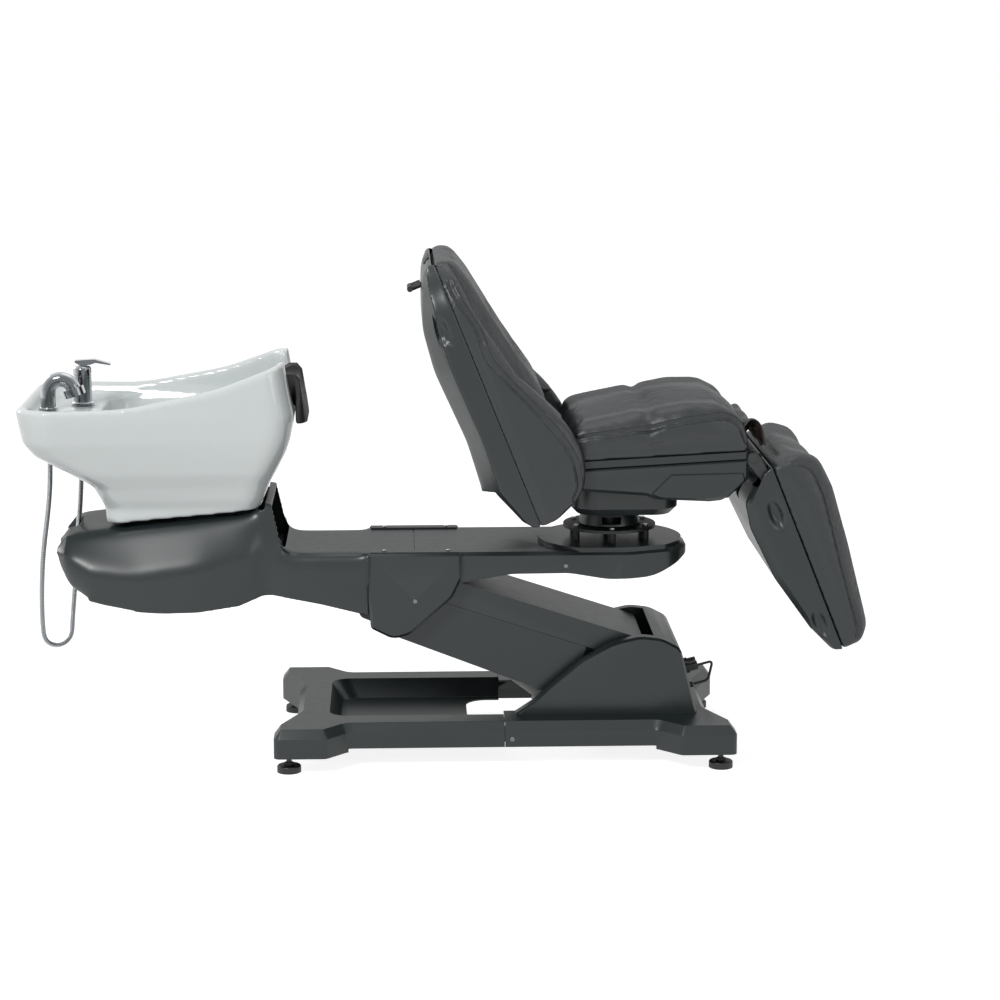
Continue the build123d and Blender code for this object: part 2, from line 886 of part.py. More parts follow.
def arm_cover(heights, ends, opening):
    # One channel of the arm's casing: heights and ends in the arm's own line
    (low_base, low_beam), (high_base, high_beam) = heights
    start, end = ends
    outer = [
        (start, arm_height(low_base, low_beam, start), cover_wall),
        (end, arm_height(low_base, low_beam, end), cover_wall),
        (end, arm_height(high_base, high_beam, end), cover_wall),
        (start, arm_height(high_base, high_beam, start), cover_wall),
    ]
    wall = arm_cover_wall
    shift = wall if opening == "below" else -wall
    inner = [
        (start - overrun, arm_height(low_base, low_beam, start) - shift, 0),
        (end + overrun, arm_height(low_base, low_beam, end) - shift, 0),
        (end + overrun, arm_height(high_base, high_beam, end) - shift, 0),
        (start - overrun, arm_height(high_base, high_beam, start) - shift, 0),
    ]
    half = arm_half_width
    solid = slab(arm_outline(outer), -half, half)
    cover = solid - slab(arm_outline(inner), -half + wall, half - wall)
    for x, z in ((base_pivot_x, base_pivot_z), (beam_pivot_x, beam_pivot_z)):
        cover -= cross_pin(x, z, pivot_collar_radius + part_gap, half + overrun)
    return cover


def arm_upper_cover():
    heights = ((arm_seam_at_base + seam_gap, arm_seam_at_beam + seam_gap), (arm_top_at_base, arm_top_at_beam))
    return arm_cover(heights, (arm_top_cover_end, arm_length + arm_beam_end), "below")


def arm_lower_cover():
    heights = ((arm_low_at_base, arm_low_at_beam), (arm_seam_at_base, arm_seam_at_beam))
    cover = arm_cover(heights, (arm_low_cover_end, arm_length + arm_beam_end / 3), "above")
    way = arm_outline([
        (arm_window_start, arm_low_at_base - overrun, 0),
        (arm_window_end, arm_low_at_base - overrun, 0),
        (arm_window_end, arm_low_at_base / 2, 0),
        (arm_window_start, arm_low_at_base / 2, 0),
    ])
    cover -= slab(way, -arm_window_half_width, arm_window_half_width)
    # Way for the hangers of the tie link, in the floor's upper end
    hanger_way = arm_outline([
        (arm_length - arm_beam_end / 2, arm_low_at_beam * 1.5, 0),
        (arm_length + arm_beam_end, arm_low_at_beam * 1.5, 0),
        (arm_length + arm_beam_end, arm_low_at_beam / 2, 0),
        (arm_length - arm_beam_end / 2, arm_low_at_beam / 2, 0),
    ])
    half = tie_bar_y + tie_bar_thickness + frame_plate + part_gap * 3
    return cover - slab(hanger_way, -half, half)


def arm_pivot_bushes():
    group = []
    half = arm_half_width - arm_cover_wall * 2
    for x, z in ((base_pivot_x, base_pivot_z), (beam_pivot_x, beam_pivot_z)):
        for side in (-1, 1):
            start = (x, side * half, z)
            end = (x, side * (half + pivot_collar_width), z)
            ring = rod(start, end, pivot_collar_radius)
            group.append(ring - rod(start, end, pivot_pin_radius + running_clearance))
    return Compound(group)


def tie_link():
    start_x = base_pivot_x + tie_drop_x
    start_z = base_pivot_z + tie_drop_z
    end_x = beam_pivot_x + tie_drop_x
    end_z = beam_pivot_z + tie_drop_z
    along_x = arm_span_x / arm_length
    along_z = arm_span_z / arm_length
    half = tie_bar_height / 2
    corners = [
        (start_x - along_z * half, start_z + along_x * half, 0),
        (start_x + along_z * half, start_z - along_x * half, 0),
        (end_x + along_z * half, end_z - along_x * half, 0),
        (end_x - along_z * half, end_z + along_x * half, 0),
    ]
    low = tie_bar_y
    high = low + tie_bar_thickness
    link = slab(corners, low, high)
    link += rod((start_x, low, start_z), (start_x, high, start_z), tie_eye_radius)
    link += rod((end_x, low, end_z), (end_x, high, end_z), tie_eye_radius)
    link -= rod((start_x, 0, start_z), (start_x, high + overrun, start_z), tie_pin_radius + running_clearance)
    link -= rod((end_x, 0, end_z), (end_x, high + overrun, end_z), tie_pin_radius + tie_open_clearance)
    return Compound([link, mirror(link, about=Plane.XZ)])


def actuator(motor_spot, rod_spot, tube_length, lead, scale=1.0, y=0.0):
    # Motor with its outer tube, and the rod that slides in it
    motor_spot = Vector(motor_spot[0], y, motor_spot[1])
    rod_spot = Vector(rod_spot[0], y, rod_spot[1])
    line = (rod_spot - motor_spot).normalized()
    side = Vector(0, actuator_eye_half_width * scale, 0)
    tube_radius = actuator_tube_radius * scale
    rod_radius = actuator_rod_radius * scale
    eye = actuator_eye_radius * scale
    motor_start = motor_spot + line * (eye * 1.2)
    motor_end = motor_start + line * (actuator_motor_length * scale)
    tube_end = motor_spot + line * tube_length
    motor = rod(motor_start, motor_end, actuator_motor_radius * scale)
    motor += rod(motor_end - line * eye, tube_end, tube_radius)
    motor += rod(motor_spot, motor_start + line * eye, eye * 0.5)
    motor += rod(motor_spot - side, motor_spot + side, eye)
    motor -= rod(motor_spot - side * 2, motor_spot + side * 2, actuator_pin_radius + running_clearance)
    motor -= rod(motor_end, tube_end + line * overrun, rod_radius + running_clearance)
    ram = rod(motor_end + line * lead, rod_spot, rod_radius)
    hole = actuator_pin_radius + actuator_open_clearance
    ram += rod(rod_spot - side, rod_spot + side, hole + wing_wall)
    ram -= rod(rod_spot - side * 2, rod_spot + side * 2, hole)
    return motor, ram


def platform_plan(edge):
    # The beam's cover seen from above, with its rounded right end
    half = beam_half_width - edge
    right = beam_right - edge
    round_start = right - platform_nose
    near = [
        (beam_seam, -half, 0),
        (round_start, -half, platform_nose * 0.7),
        (right - platform_nose * 0.22, -half * 0.72, platform_nose * 0.5),
        (right, -half * 0.30, platform_nose * 0.6),
    ]
    return near + [(x, -y, r) for x, y, r in reversed(near)]


platform_low_corners = corner_list(
    platform_low_shares, beam_seam, beam_right - beam_seam, beam_top, platform_share_height
)


def platform_side(grow):
    right = beam_right + overrun
    top = [(right, beam_top + overrun, 0), (beam_seam - overrun, beam_top + overrun, 0)]
    low = [(beam_seam - overrun, beam_top - platform_share_height * 0.72, 0)]
    return low + [(x, z + grow, r) for x, z, r in platform_low_corners[1:]] + top


def platform_solid(wall):
    break_height = beam_top - beam_edge
    low = beam_top - platform_share_height
    plan = platform_plan(wall)
    rim = platform_plan(wall + beam_edge)
    solid = plate(plan, low, break_height - wall / 2)
    solid += plan_loft([(plan, break_height - wall / 2), (rim, beam_top - wall)])
    disc_low = beam_top - wall - beam_edge
    disc_high = beam_top + platform_rise - wall
    disc = rod((swivel_x, 0, disc_low), (swivel_x, 0, disc_high), platform_disc_radius - wall)
    disc = disc & plate(platform_plan(wall + beam_edge * 0.7), disc_low, disc_high + overrun)
    solid += disc
    return solid & slab(platform_side(wall), -beam_half_width, beam_half_width)


def platform_cover():
    shell = platform_solid(0) - platform_solid(beam_wall)
    # Open below where the arm comes up into the beam
    open_right = wing_left + wing_length + platform_open_reach
    inner = beam_half_width - beam_wall
    low = beam_top - platform_share_height
    shell -= block(beam_seam - overrun, open_right, -inner, inner, low - overrun, beam_top - beam_wall)
    shell -= block(beam_seam - overrun, beam_seam + seam_gap, -beam_half_width, beam_half_width, low, beam_top)
    seat = swivel_plate_low - beam_top - platform_rise
    for index in range(swivel_bolt_count):
        angle = math.radians(360 / swivel_bolt_count * (index + 0.5))
        x = swivel_x + swivel_bolt_circle * math.cos(angle)
        y = swivel_bolt_circle * math.sin(angle)
        shell -= rod((x, y, beam_top - seat), (x, y, swivel_plate_low), swivel_bolt_radius + running_clearance)
    for place in wing_screw_places():
        shell -= screw_hole(*place)
    return shell


def pedestal_section(row, wall):
    x_share, top_z, top_y, ridge_z, ridge_y, low_z, low_y = row
    top = pedestal_low + pedestal_height * top_z - wall
    ridge = pedestal_low + pedestal_height * ridge_z
    low = pedestal_low + pedestal_height * low_z + wall
    top_half = pedestal_half_width * top_y - wall
    ridge_half = pedestal_half_width * ridge_y - wall
    low_half = pedestal_half_width * low_y - wall
    edge = beam_edge
    near = [
        (-low_half, low),
        (-ridge_half, ridge - edge),
        (-ridge_half, ridge + edge),
        (-top_half, top - edge),
        (-top_half + edge, top),
    ]
    points = near + [(-y, z) for y, z in reversed(near)]
    return [(beam_left + pedestal_length * x_share, y, z) for y, z in points]


def pedestal_form(wall):
    # Cross sections along the cover, joined by straight sides
    faces = []
    last = len(pedestal_shares) - 1
    for index, row in enumerate(pedestal_shares):
        points = pedestal_section(row, wall)
        shift = wall if index == 0 else 0
        shift = overrun if index == last and wall > 0 else shift
        points = [Vector(x + shift, y, z) for x, y, z in points]
        edges = [Line(point, points[(spot + 1) % len(points)]) for spot, point in enumerate(points)]
        faces.append(make_face(edges))
    return loft(faces, ruled=True)


def pedestal_notch(grow):
    half = pedestal_notch_half_width + grow
    depth = pedestal_notch_depth + grow
    corners = [
        (beam_left - overrun, -half, 0),
        (beam_left + depth, -half, depth * 0.6),
        (beam_left + depth, half, depth * 0.6),
        (beam_left - overrun, half, 0),
    ]
    return plate(corners, pedestal_low - overrun, pedestal_low + pedestal_height + overrun)


def pedestal_cover():
    outer = pedestal_form(0) - pedestal_notch(0)
    inner = pedestal_form(beam_wall) - pedestal_notch(beam_wall)
    shell = outer - inner
    inside = beam_half_width - beam_wall
    open_left = beam_left + pedestal_length * pedestal_open_from
    right = beam_left + pedestal_length
    shell -= block(open_left, right + overrun, -inside, inside, pedestal_low - overrun, beam_top - beam_wall)
    shell -= block(
        open_left, right + overrun, -pedestal_half_width, pedestal_half_width,
        pedestal_low - overrun, beam_top - platform_share_height * 0.72,
    )
    hanger_y = tie_bar_y + tie_bar_thickness
    shell -= both_sides(block(
        wing_left - pivot_barrel_radius * 2, right + overrun, hanger_y, hanger_y + frame_plate + part_gap * 2,
        pedestal_low - overrun, beam_rail_low,
    ))
    for place in wing_screw_places():
        shell -= screw_hole(*place)
    shell -= basin_bed()
    drain_x = basin_left + basin_length * drain_x_share
    middle = pedestal_low + pedestal_height / 2
    shell -= rod((drain_x, 0, middle), (drain_x, 0, middle + pedestal_height), pedestal_drain_radius)
    shell -= rod((drain_x, 0, pedestal_low - overrun), (drain_x, 0, middle), pedestal_drain_radius)
    for side in (-1, 1):
        y = mixer_y + side * supply_gap / 2
        shell -= rod((supply_x, y, middle), (supply_x, y, middle + pedestal_height), supply_radius + part_gap)
    return shell


def beam_frame():
    # Two flat rails inside the covers, the ears for the lift pivot and the cross plates
    right = swivel_x + platform_nose * 0.3
    left = basin_left + basin_length * 0.33
    rail = block(left, right, beam_rail_inner, beam_rail_outer, beam_rail_low, beam_rail_high)
    ear_outline = [
        (beam_pivot_x - pivot_barrel_radius * 1.2, beam_pivot_z - pivot_barrel_radius * 1.2, pivot_barrel_radius),
        (beam_pivot_x + pivot_barrel_radius * 1.2, beam_pivot_z - pivot_barrel_radius * 1.2, pivot_barrel_radius),
        (beam_pivot_x + pivot_barrel_radius * 2.4, beam_rail_low + part_gap, 0),
        (beam_pivot_x - pivot_barrel_radius * 2.4, beam_rail_low + part_gap, 0),
    ]
    rail += slab(ear_outline, beam_rail_inner, beam_rail_outer)
    frame = both_sides(rail)
    bar = beam_rail_high - beam_rail_low
    plate_low = beam_rail_high - frame_plate
    for x in (left + bar, beam_left + pedestal_length * 0.6, wing_left - bar):
        frame += block(x - bar / 2, x + bar / 2, -beam_rail_inner, beam_rail_inner, plate_low, beam_rail_high)
    for x in (swivel_x - swivel_plate_radius, right - bar / 2):
        frame += block(x - bar / 2, x + bar / 2, -beam_rail_inner, beam_rail_inner, plate_low, beam_rail_high)
    disc = rod((swivel_x, 0, plate_low), (swivel_x, 0, beam_rail_high), swivel_plate_radius)
    frame += disc
    # Bar that carries the far end of the tie link
    tie_x = beam_pivot_x + tie_drop_x
    tie_z = beam_pivot_z + tie_drop_z
    hanger = [
        (tie_x - tie_eye_radius, tie_z - tie_eye_radius, tie_eye_radius * 0.9),
        (tie_x + tie_eye_radius * 0.6, tie_z - tie_eye_radius, tie_eye_radius * 0.9),
        (tie_x - tie_eye_radius, tie_z + tie_eye_radius * 2, tie_eye_radius),
        (wing_left - part_gap * 4, beam_rail_low, 0),
        (wing_left - part_gap * 4, beam_rail_high, 0),
        (wing_left - bar, beam_rail_high, 0),
        (wing_left - bar * 0.7, tie_z + tie_eye_radius, tie_eye_radius),
    ]
    inner = tie_bar_y + tie_bar_thickness + part_gap
    frame += bar_pair(hanger, inner, frame_plate)
    frame += pin_pair(tie_x, tie_z, tie_pin_radius, tie_bar_y, inner + frame_plate)
    frame -= cross_pin(beam_pivot_x, beam_pivot_z, pivot_pin_radius, beam_rail_outer + overrun)
    for place in wing_screw_places():
        frame -= screw_hole(*place)
    return frame


def beam_pivot_pin():
    return cross_pin(beam_pivot_x, beam_pivot_z, pivot_pin_radius, beam_rail_outer)


def wing_cover(side):
    corners = corner_list(wing_shares, wing_left, wing_length, wing_low, wing_height)
    inner_y = beam_half_width + seam_gap / 2
    outer_y = inner_y + wing_reach
    mid_y = outer_y - wing_wall * 2
    outer = side_loft([
        (corners, inner_y),
        (corners, mid_y),
        (inset(corners, wing_wall * 2), outer_y),
    ], ruled=True)
    core = inset(corners, wing_wall)
    inner = side_loft([
        (core, inner_y - overrun),
        (core, mid_y - wing_wall),
        (inset(corners, wing_wall * 3), outer_y - wing_wall),
    ], ruled=True)
    cover = outer - inner
    tab_low = beam_top + seam_gap / 2
    tab_high = tab_low + wing_tab_height
    inset_x = wing_wall
    tab = block(
        wing_left + inset_x, wing_left + wing_length - inset_x,
        beam_half_width - wing_tab_depth, inner_y + wing_wall * 1.5, tab_low, tab_high,
    )
    cover += tab
    if side < 0:
        cover = mirror(cover, about=Plane.XZ)
    for place in wing_screw_places():
        cover -= screw_hole(*place)
    return cover


def wing_screw_places():
    # Two in each wing's tab, one at each end of the lift pivot and one in each side of the beam
    places = []
    tab_z = beam_top + seam_gap / 2 + wing_tab_height
    y = beam_half_width - wing_tab_depth / 2
    outer = beam_half_width + seam_gap / 2 + wing_reach
    side_z = beam_rail_low + beam_top - beam_rail_high
    for side in (-1, 1):
        for share in wing_tab_screw_shares:
            places.append((wing_left + wing_length * share, side * y, tab_z, (0, 0, 1)))
        places.append((beam_pivot_x, side * outer, beam_pivot_z, (0, side, 0)))
        places.append((wing_left + wing_length * beam_screw_share, side * beam_half_width, side_z, (0, side, 0)))
    return places


def wing_screws():
    return Compound([screw(*place) for place in wing_screw_places()])


def plan_ring(row, wall):
    # A basin outline seen from above: left and right ends, half width at each, height
    left_share, right_share, left_y, right_y, height = row
    left = basin_left + basin_length * left_share + wall
    right = basin_left + basin_length * right_share - wall
    left_half = basin_half_width * left_y - wall
    right_half = basin_half_width * right_y - wall
    left_radius = left_half * basin_corner_share
    right_radius = right_half * basin_corner_share
    corners = [
        (left, -left_half, left_radius),
        (right, -right_half, right_radius),
        (right, right_half, right_radius),
        (left, left_half, left_radius),
    ]
    return corners, basin_low + basin_height * height


def basin_bed():
    # Everything above the sloping plane that the basin stands on
    left = basin_left + basin_length * basin_plan_shares[0][0] - part_gap
    right = basin_left + basin_length * basin_plan_shares[2][1] + part_gap
    slope = corner_list(basin_foot_shares, basin_left, basin_length, basin_low, basin_height)
    (x_one, z_one, _), (x_two, z_two, _) = slope
    rise = (z_two - z_one) / (x_two - x_one)
    corners = [
        (left, z_one + rise * (left - x_one), 0),
        (right, z_one + rise * (right - x_one), 0),
        (right, z_one + pedestal_height, 0),
        (left, z_one + pedestal_height, 0),
    ]
    half = basin_half_width * basin_plan_shares[0][2] + part_gap
    return slab(corners, -half, half)


def basin():
    outer = plan_loft([plan_ring(row, 0) for row in basin_plan_shares])
    rim = corner_list(basin_rim_shares, basin_left, basin_length, basin_low, basin_height)
    above = rim + [
        (rim[-1][0], basin_low + basin_height + overrun * 4, 0),
        (rim[0][0], basin_low + basin_height + overrun * 4, 0),
    ]
    half = basin_half_width + overrun
    outer -= slab(above, -half, half)
    foot = corner_list(basin_foot_shares, basin_left, basin_length, basin_low, basin_height)
    below = [
        (foot[0][0], basin_low - overrun, 0),
        (foot[1][0], basin_low - overrun, 0),
        foot[1],
        foot[0],
    ]
    outer -= slab(below, -half, half)
    bowl = plan_loft([basin_ring(row) for row in bowl_shares])
    deck = plan_loft([basin_ring(row) for row in deck_shares])
    # Hollow underneath, one wall away from the outside, the bowl and the deck
    under = plan_loft([plan_ring(row, basin_skin) for row in basin_plan_shares])
    under -= plan_loft([basin_ring(row, basin_skin) for row in bowl_shares])
    under -= plan_loft([basin_ring(row, basin_skin) for row in deck_shares])
    rim_low = [(x, z - basin_skin, r) for x, z, r in above]
    under -= slab(rim_low, -half, half)
    solid = outer - bowl - deck - under
    # Hole for the drain, the neck notch and the holes for the fittings
    drain_x = basin_left + basin_length * drain_x_share
    solid -= rod((drain_x, 0, basin_low), (drain_x, 0, basin_low + basin_height / 2), drain_radius)
    right = basin_left + basin_length
    face = Plane.YZ.offset(right - notch_reach).location * rounded_face(notch_outline(0))
    solid -= extrude(face, amount=notch_reach + overrun, dir=(1, 0, 0))
    for x, y, radius in (
        (mixer_x, mixer_y, mixer_hole_radius),
        (handset_x, handset_y, handset_tail_radius + part_gap),
    ):
        solid -= rod((x, y, basin_low + basin_height * 0.3), (x, y, basin_low + basin_height), radius)
    return solid


def basin_ring(row, grow=0.0):
    # An inside outline of the basin, or the same one wall further out and lower
    left_share, right_share, left_y, right_y, height = row
    left = basin_left + basin_length * left_share - grow
    right = basin_left + basin_length * right_share + grow
    left_half = (basin_half_width - basin_wall) * left_y + grow
    right_half = (basin_half_width - basin_wall) * right_y + grow
    corners = [
        (left, -left_half, left_half * basin_corner_share),
        (right, -right_half, right_half * basin_corner_share),
        (right, right_half, right_half * basin_corner_share),
        (left, left_half, left_half * basin_corner_share),
    ]
    return corners, basin_low + basin_height * height - grow


deck_z = basin_low + basin_height * deck_shares[0][4]
bowl_floor_z = basin_low + basin_height * bowl_shares[0][4]
drain_place_x = basin_left + basin_length * drain_x_share


def drain_strainer():
    low = bowl_floor_z - basin_wall * 0.6
    flange = rod(
        (drain_place_x, 0, bowl_floor_z), (drain_place_x, 0, bowl_floor_z + wing_wall),
        drain_radius + wing_wall * 2,
    )
    body = rod(
        (drain_place_x, 0, low), (drain_place_x, 0, bowl_floor_z), drain_radius - running_clearance
    )
    cup = flange + body
    cup -= rod(
        (drain_place_x, 0, low + wing_wall), (drain_place_x, 0, bowl_floor_z + overrun),
        drain_radius - wing_wall,
    )
    hole = drain_radius / 7
    for ring in (1, 2):
        for index in range(6 * ring):
            angle = math.radians(60 / ring * index)
            x = drain_place_x + drain_radius * 0.36 * ring * math.cos(angle)
            y = drain_radius * 0.36 * ring * math.sin(angle)
            cup -= rod((x, y, low - overrun), (x, y, bowl_floor_z), hole)
    return cup


def drain_tail():
    high = bowl_floor_z - basin_wall * 0.6
    low = drain_tail_low
    outer = rod((drain_place_x, 0, low), (drain_place_x, 0, high), drain_tail_radius)
    nut_low = bowl_floor_z - basin_wall * 3
    nut = rod((drain_place_x, 0, nut_low), (drain_place_x, 0, nut_low + basin_wall), drain_radius + wing_wall)
    tail = outer + nut
    return tail - rod(
        (drain_place_x, 0, low - overrun), (drain_place_x, 0, high + overrun), drain_tail_radius - wing_wall / 2
    )


def mixer_body():
    x, y, z = mixer_x, mixer_y, deck_z
    ring = rod((x, y, z), (x, y, z + mixer_base_height), mixer_base_radius)
    ring = fillet(ring.edges().group_by(Axis.Z)[-1], mixer_base_height / 3)
    top = z + mixer_base_height + mixer_body_height
    body = rod((x, y, z + mixer_base_height), (x, y, top), mixer_radius)
    shank = rod((x, y, z - mixer_body_height), (x, y, z), mixer_hole_radius - part_gap)
    tail_x = x - mixer_tail_radius - part_gap
    tail = rod((tail_x, y, z - mixer_tail_length), (tail_x, y, z), mixer_tail_radius)
    return ring + body + shank + tail


def supply_hoses():
    # Two short hoses from the mixer's shank down into the pedestal
    group = []
    top = deck_z - mixer_body_height
    for side in (-1, 1):
        y_top = mixer_y + side * (supply_radius + part_gap / 2)
        y_low = mixer_y + side * supply_gap / 2
        hose = rod((mixer_x + supply_radius * 1.2, y_top, top), (supply_x, y_low, supply_knee), supply_radius)
        hose += Pos(supply_x, y_low, supply_knee) * Sphere(supply_radius)
        hose += rod((supply_x, y_low, supply_knee), (supply_x, y_low, supply_low), supply_radius)
        group.append(hose)
    cut = block(
        mixer_x - mixer_radius, supply_x + mixer_radius, -basin_half_width, basin_half_width, top, top + overrun
    )
    return Compound([hose - cut for hose in group])


def mixer_cap():
    x, y = mixer_x, mixer_y
    low = deck_z + mixer_base_height + mixer_body_height + soft_gap
    cap = rod((x, y, low), (x, y, low + mixer_cap_height), mixer_radius)
    cap = fillet(cap.edges().group_by(Axis.Z)[-1], mixer_cap_height * 0.4)
    slot_half = lever_width * 0.32
    pin_z = low + mixer_cap_height - lever_axis_drop
    pin_half = slot_half + lever_pin_radius
    cap -= rod((x, y - pin_half, pin_z), (x, y + pin_half, pin_z), lever_pin_radius + running_clearance)
    slot_low = low + mixer_cap_height * 0.3
    return cap - block(
        x - mixer_radius * 0.4, x + mixer_radius * 1.5, y - slot_half, y + slot_half,
        slot_low, low + mixer_cap_height + overrun,
    )


def mixer_lever():
    x, y = mixer_x, mixer_y
    low = deck_z + mixer_base_height + mixer_body_height + soft_gap + mixer_cap_height
    base = low - lever_axis_drop * 0.2
    corners = [
        (x - mixer_radius * 0.8, base + lever_thickness * 1.6, lever_thickness / 4),
        (x - mixer_radius * 0.3, base + lever_axis_drop * 0.8, lever_thickness / 3),
        (x + mixer_radius * 0.9, base + lever_axis_drop * 0.8, 0),
        (x + mixer_radius * 1.5, base + lever_thickness * 1.3, lever_thickness),
        (x + lever_length, base + lever_thickness * 0.5, lever_thickness / 4),
        (x + lever_length, base + lever_thickness * 1.0, lever_thickness / 4),
        (x + mixer_radius * 1.4, base + lever_thickness * 2.5, lever_thickness * 2),
        (x - mixer_radius * 0.7, base + lever_thickness * 2.2, lever_thickness),
    ]
    lever = slab(corners, y - lever_width / 2, y + lever_width / 2)
    stem_half = lever_width * 0.32 - running_clearance
    stem = block(
        x - mixer_radius * 0.2, x + mixer_radius * 0.6, y - stem_half, y + stem_half,
        low - mixer_cap_height * 0.5, base + lever_thickness,
    )
    # Pin on which the lever tilts in the cap
    pin_z = low - lever_axis_drop
    pin_half = lever_width * 0.32 + lever_pin_radius - running_clearance
    return lever + stem + rod((x, y - pin_half, pin_z), (x, y + pin_half, pin_z), lever_pin_radius)


def handset_socket():
    x, y = handset_x, handset_y
    ring = rod((x, y, deck_z), (x, y, deck_z + handset_socket_height), handset_socket_radius)
    ring = fillet(ring.edges().group_by(Axis.Z)[-1], handset_socket_height / 3)
    low = deck_z - handset_sleeve
    sleeve = rod((x, y, low), (x, y, deck_z), handset_tail_radius + part_gap * 0.6)
    return ring + sleeve - rod((x, y, low - overrun), (x, y, deck_z + overrun), handset_tail_radius * 0.8 + soft_gap)


# The shower hose hangs from the socket in a loop and comes back up to the mixer
hose_route = [
    (-888, -45, 690), (-889, -44, 640), (-893, -41, 590), (-900, -37, 540), (-908, -32, 490), (-915, -27, 435),
    (-919, -21, 380), (-921, -17, 330), (-921, -13, 285), (-919, -10, 252), (-907, -3, 236), (-889, 7, 230),
    (-871, 17, 236), (-859, 24, 252), (-857, 27, 285), (-853, 31, 330), (-848, 35, 385), (-844, 38, 440),
    (-839, 41, 500), (-833, 43, 560), (-829, 45, 620), (-827, 45, 685),
]


def loose_path(points):
    # Straight runs joined by arcs, each as large as its two runs allow
    radii = []
    for before, corner, after in zip(points, points[1:], points[2:]):
        run_in = corner - before
        run_out = after - corner
        half_turn = math.radians(run_in.get_angle(run_out)) / 2
        radii.append(arc_share * min(run_in.length, run_out.length) / math.tan(half_turn))
    print("tightest bend", round(min(radii), 1))
    return FilletPolyline(*points, radius=radii)


def shower_hose():
    points = [Vector(*point) for point in hose_route]
    path = loose_path(points)
    section = Plane(origin=points[0], z_dir=points[1] - points[0]) * Circle(hose_radius)
    tube = sweep(section, path=path)
    share = tube.volume / (path.length * math.pi * hose_radius ** 2)
    print("shower hose length", round(path.length), "volume share", round(share, 3))
    return tube


def spray_handset():
    # A bent neck with a round spray face that looks down and to the right
    x, y = handset_x, handset_y
    low = deck_z + handset_socket_height + soft_gap
    turn = handset_reach / 2
    neck_top = low + handset_rise - turn
    rise = Line((x, y, low), (x, y, neck_top))
    middle = (x + turn * (1 - math.cos(math.pi / 4)), y, neck_top + turn * math.sin(math.pi / 4))
    first = ThreePointArc((x, y, neck_top), middle, (x + turn, y, neck_top + turn))
    drop = math.pi / 2 * 0.8
    half_drop = drop / 2
    end = (x + turn + turn * math.sin(drop), y, neck_top + turn * math.cos(drop))
    between = (x + turn + turn * math.sin(half_drop), y, neck_top + turn * math.cos(half_drop))
    second = ThreePointArc((x + turn, y, neck_top + turn), between, end)
    path = Wire([rise, first, second])
    neck = sweep(Plane(origin=(x, y, low), z_dir=(0, 0, 1)) * Circle(handset_radius), path=path)
    heading = Vector(math.cos(drop), 0, -math.sin(drop))
    end = Vector(*end)
    face = rod(end - heading * soft_gap, end + heading * handset_face_depth, handset_face_radius)
    tail_radius = handset_tail_radius * 0.8
    tail = rod((x, y, deck_z - basin_wall * 2.8), (x, y, low), tail_radius)
    return neck + face + tail


def notch_outline(amount):
    top = basin_low + basin_height * 1.2
    corners = [
        (-notch_half_width, notch_low, notch_radius),
        (notch_half_width, notch_low, notch_radius),
        (notch_half_width * 1.15, top, 0),
        (-notch_half_width * 1.15, top, 0),
    ]
    return inset(corners, amount)


def neck_rest():
    # A rubber saddle in the basin's notch with a flap over the outer wall
    start = basin_left + basin_length - notch_reach * 0.86
    length = notch_reach * 0.86 + soft_gap
    outer = Plane.YZ.offset(start).location * rounded_face(notch_outline(soft_gap))
    inner = Plane.YZ.offset(start - overrun).location * rounded_face(notch_outline(neck_thickness))
    hollow = extrude(inner, amount=length + overrun * 3, dir=(1, 0, 0))
    body = extrude(outer, amount=length, dir=(1, 0, 0))
    top = notch_low + notch_half_width * 0.86
    half = notch_half_width * 1.05
    flap = block(start + length, start + length + neck_flange, -half, half, notch_low - neck_drop, top)
    trim = block(start - overrun, start + length * 2, -half * 2, half * 2, top, top + notch_half_width * 3)
    return (body + flap) - hollow - trim


def swivel_base_plate():
    low = swivel_plate_low
    high = low + swivel_plate_thickness
    shape = rod((swivel_x, 0, low), (swivel_x, 0, high), swivel_plate_radius)
    shape = fillet(shape.edges().group_by(Axis.Z)[-1], swivel_plate_thickness / 4)
    platform_z = beam_top + platform_rise
    top = seat_pan_low + cone_wall * 2
    shape += rod((swivel_x, 0, high), (swivel_x, 0, top), spindle_radius)
    for index in range(swivel_bolt_count):
        angle = math.radians(360 / swivel_bolt_count * (index + 0.5))
        x = swivel_x + swivel_bolt_circle * math.cos(angle)
        y = swivel_bolt_circle * math.sin(angle)
        shape += rod((x, y, platform_z), (x, y, low), swivel_spacer_radius)
        shape -= rod((x, y, platform_z - overrun), (x, y, high + overrun), swivel_bolt_radius + running_clearance)
    return shape


def swivel_bolts():
    group = []
    platform_z = beam_top + platform_rise
    high = swivel_plate_low + swivel_plate_thickness
    for index in range(swivel_bolt_count):
        angle = math.radians(360 / swivel_bolt_count * (index + 0.5))
        x = swivel_x + swivel_bolt_circle * math.cos(angle)
        y = swivel_bolt_circle * math.sin(angle)
        shank = rod((x, y, beam_rail_high), (x, y, high), swivel_bolt_radius)
        head_face = RegularPolygon(swivel_bolt_radius * 1.7, 6)
        head = Pos(x, y, high) * extrude(head_face, amount=swivel_bolt_radius)
        group.append(shank + head)
    return Compound(group)


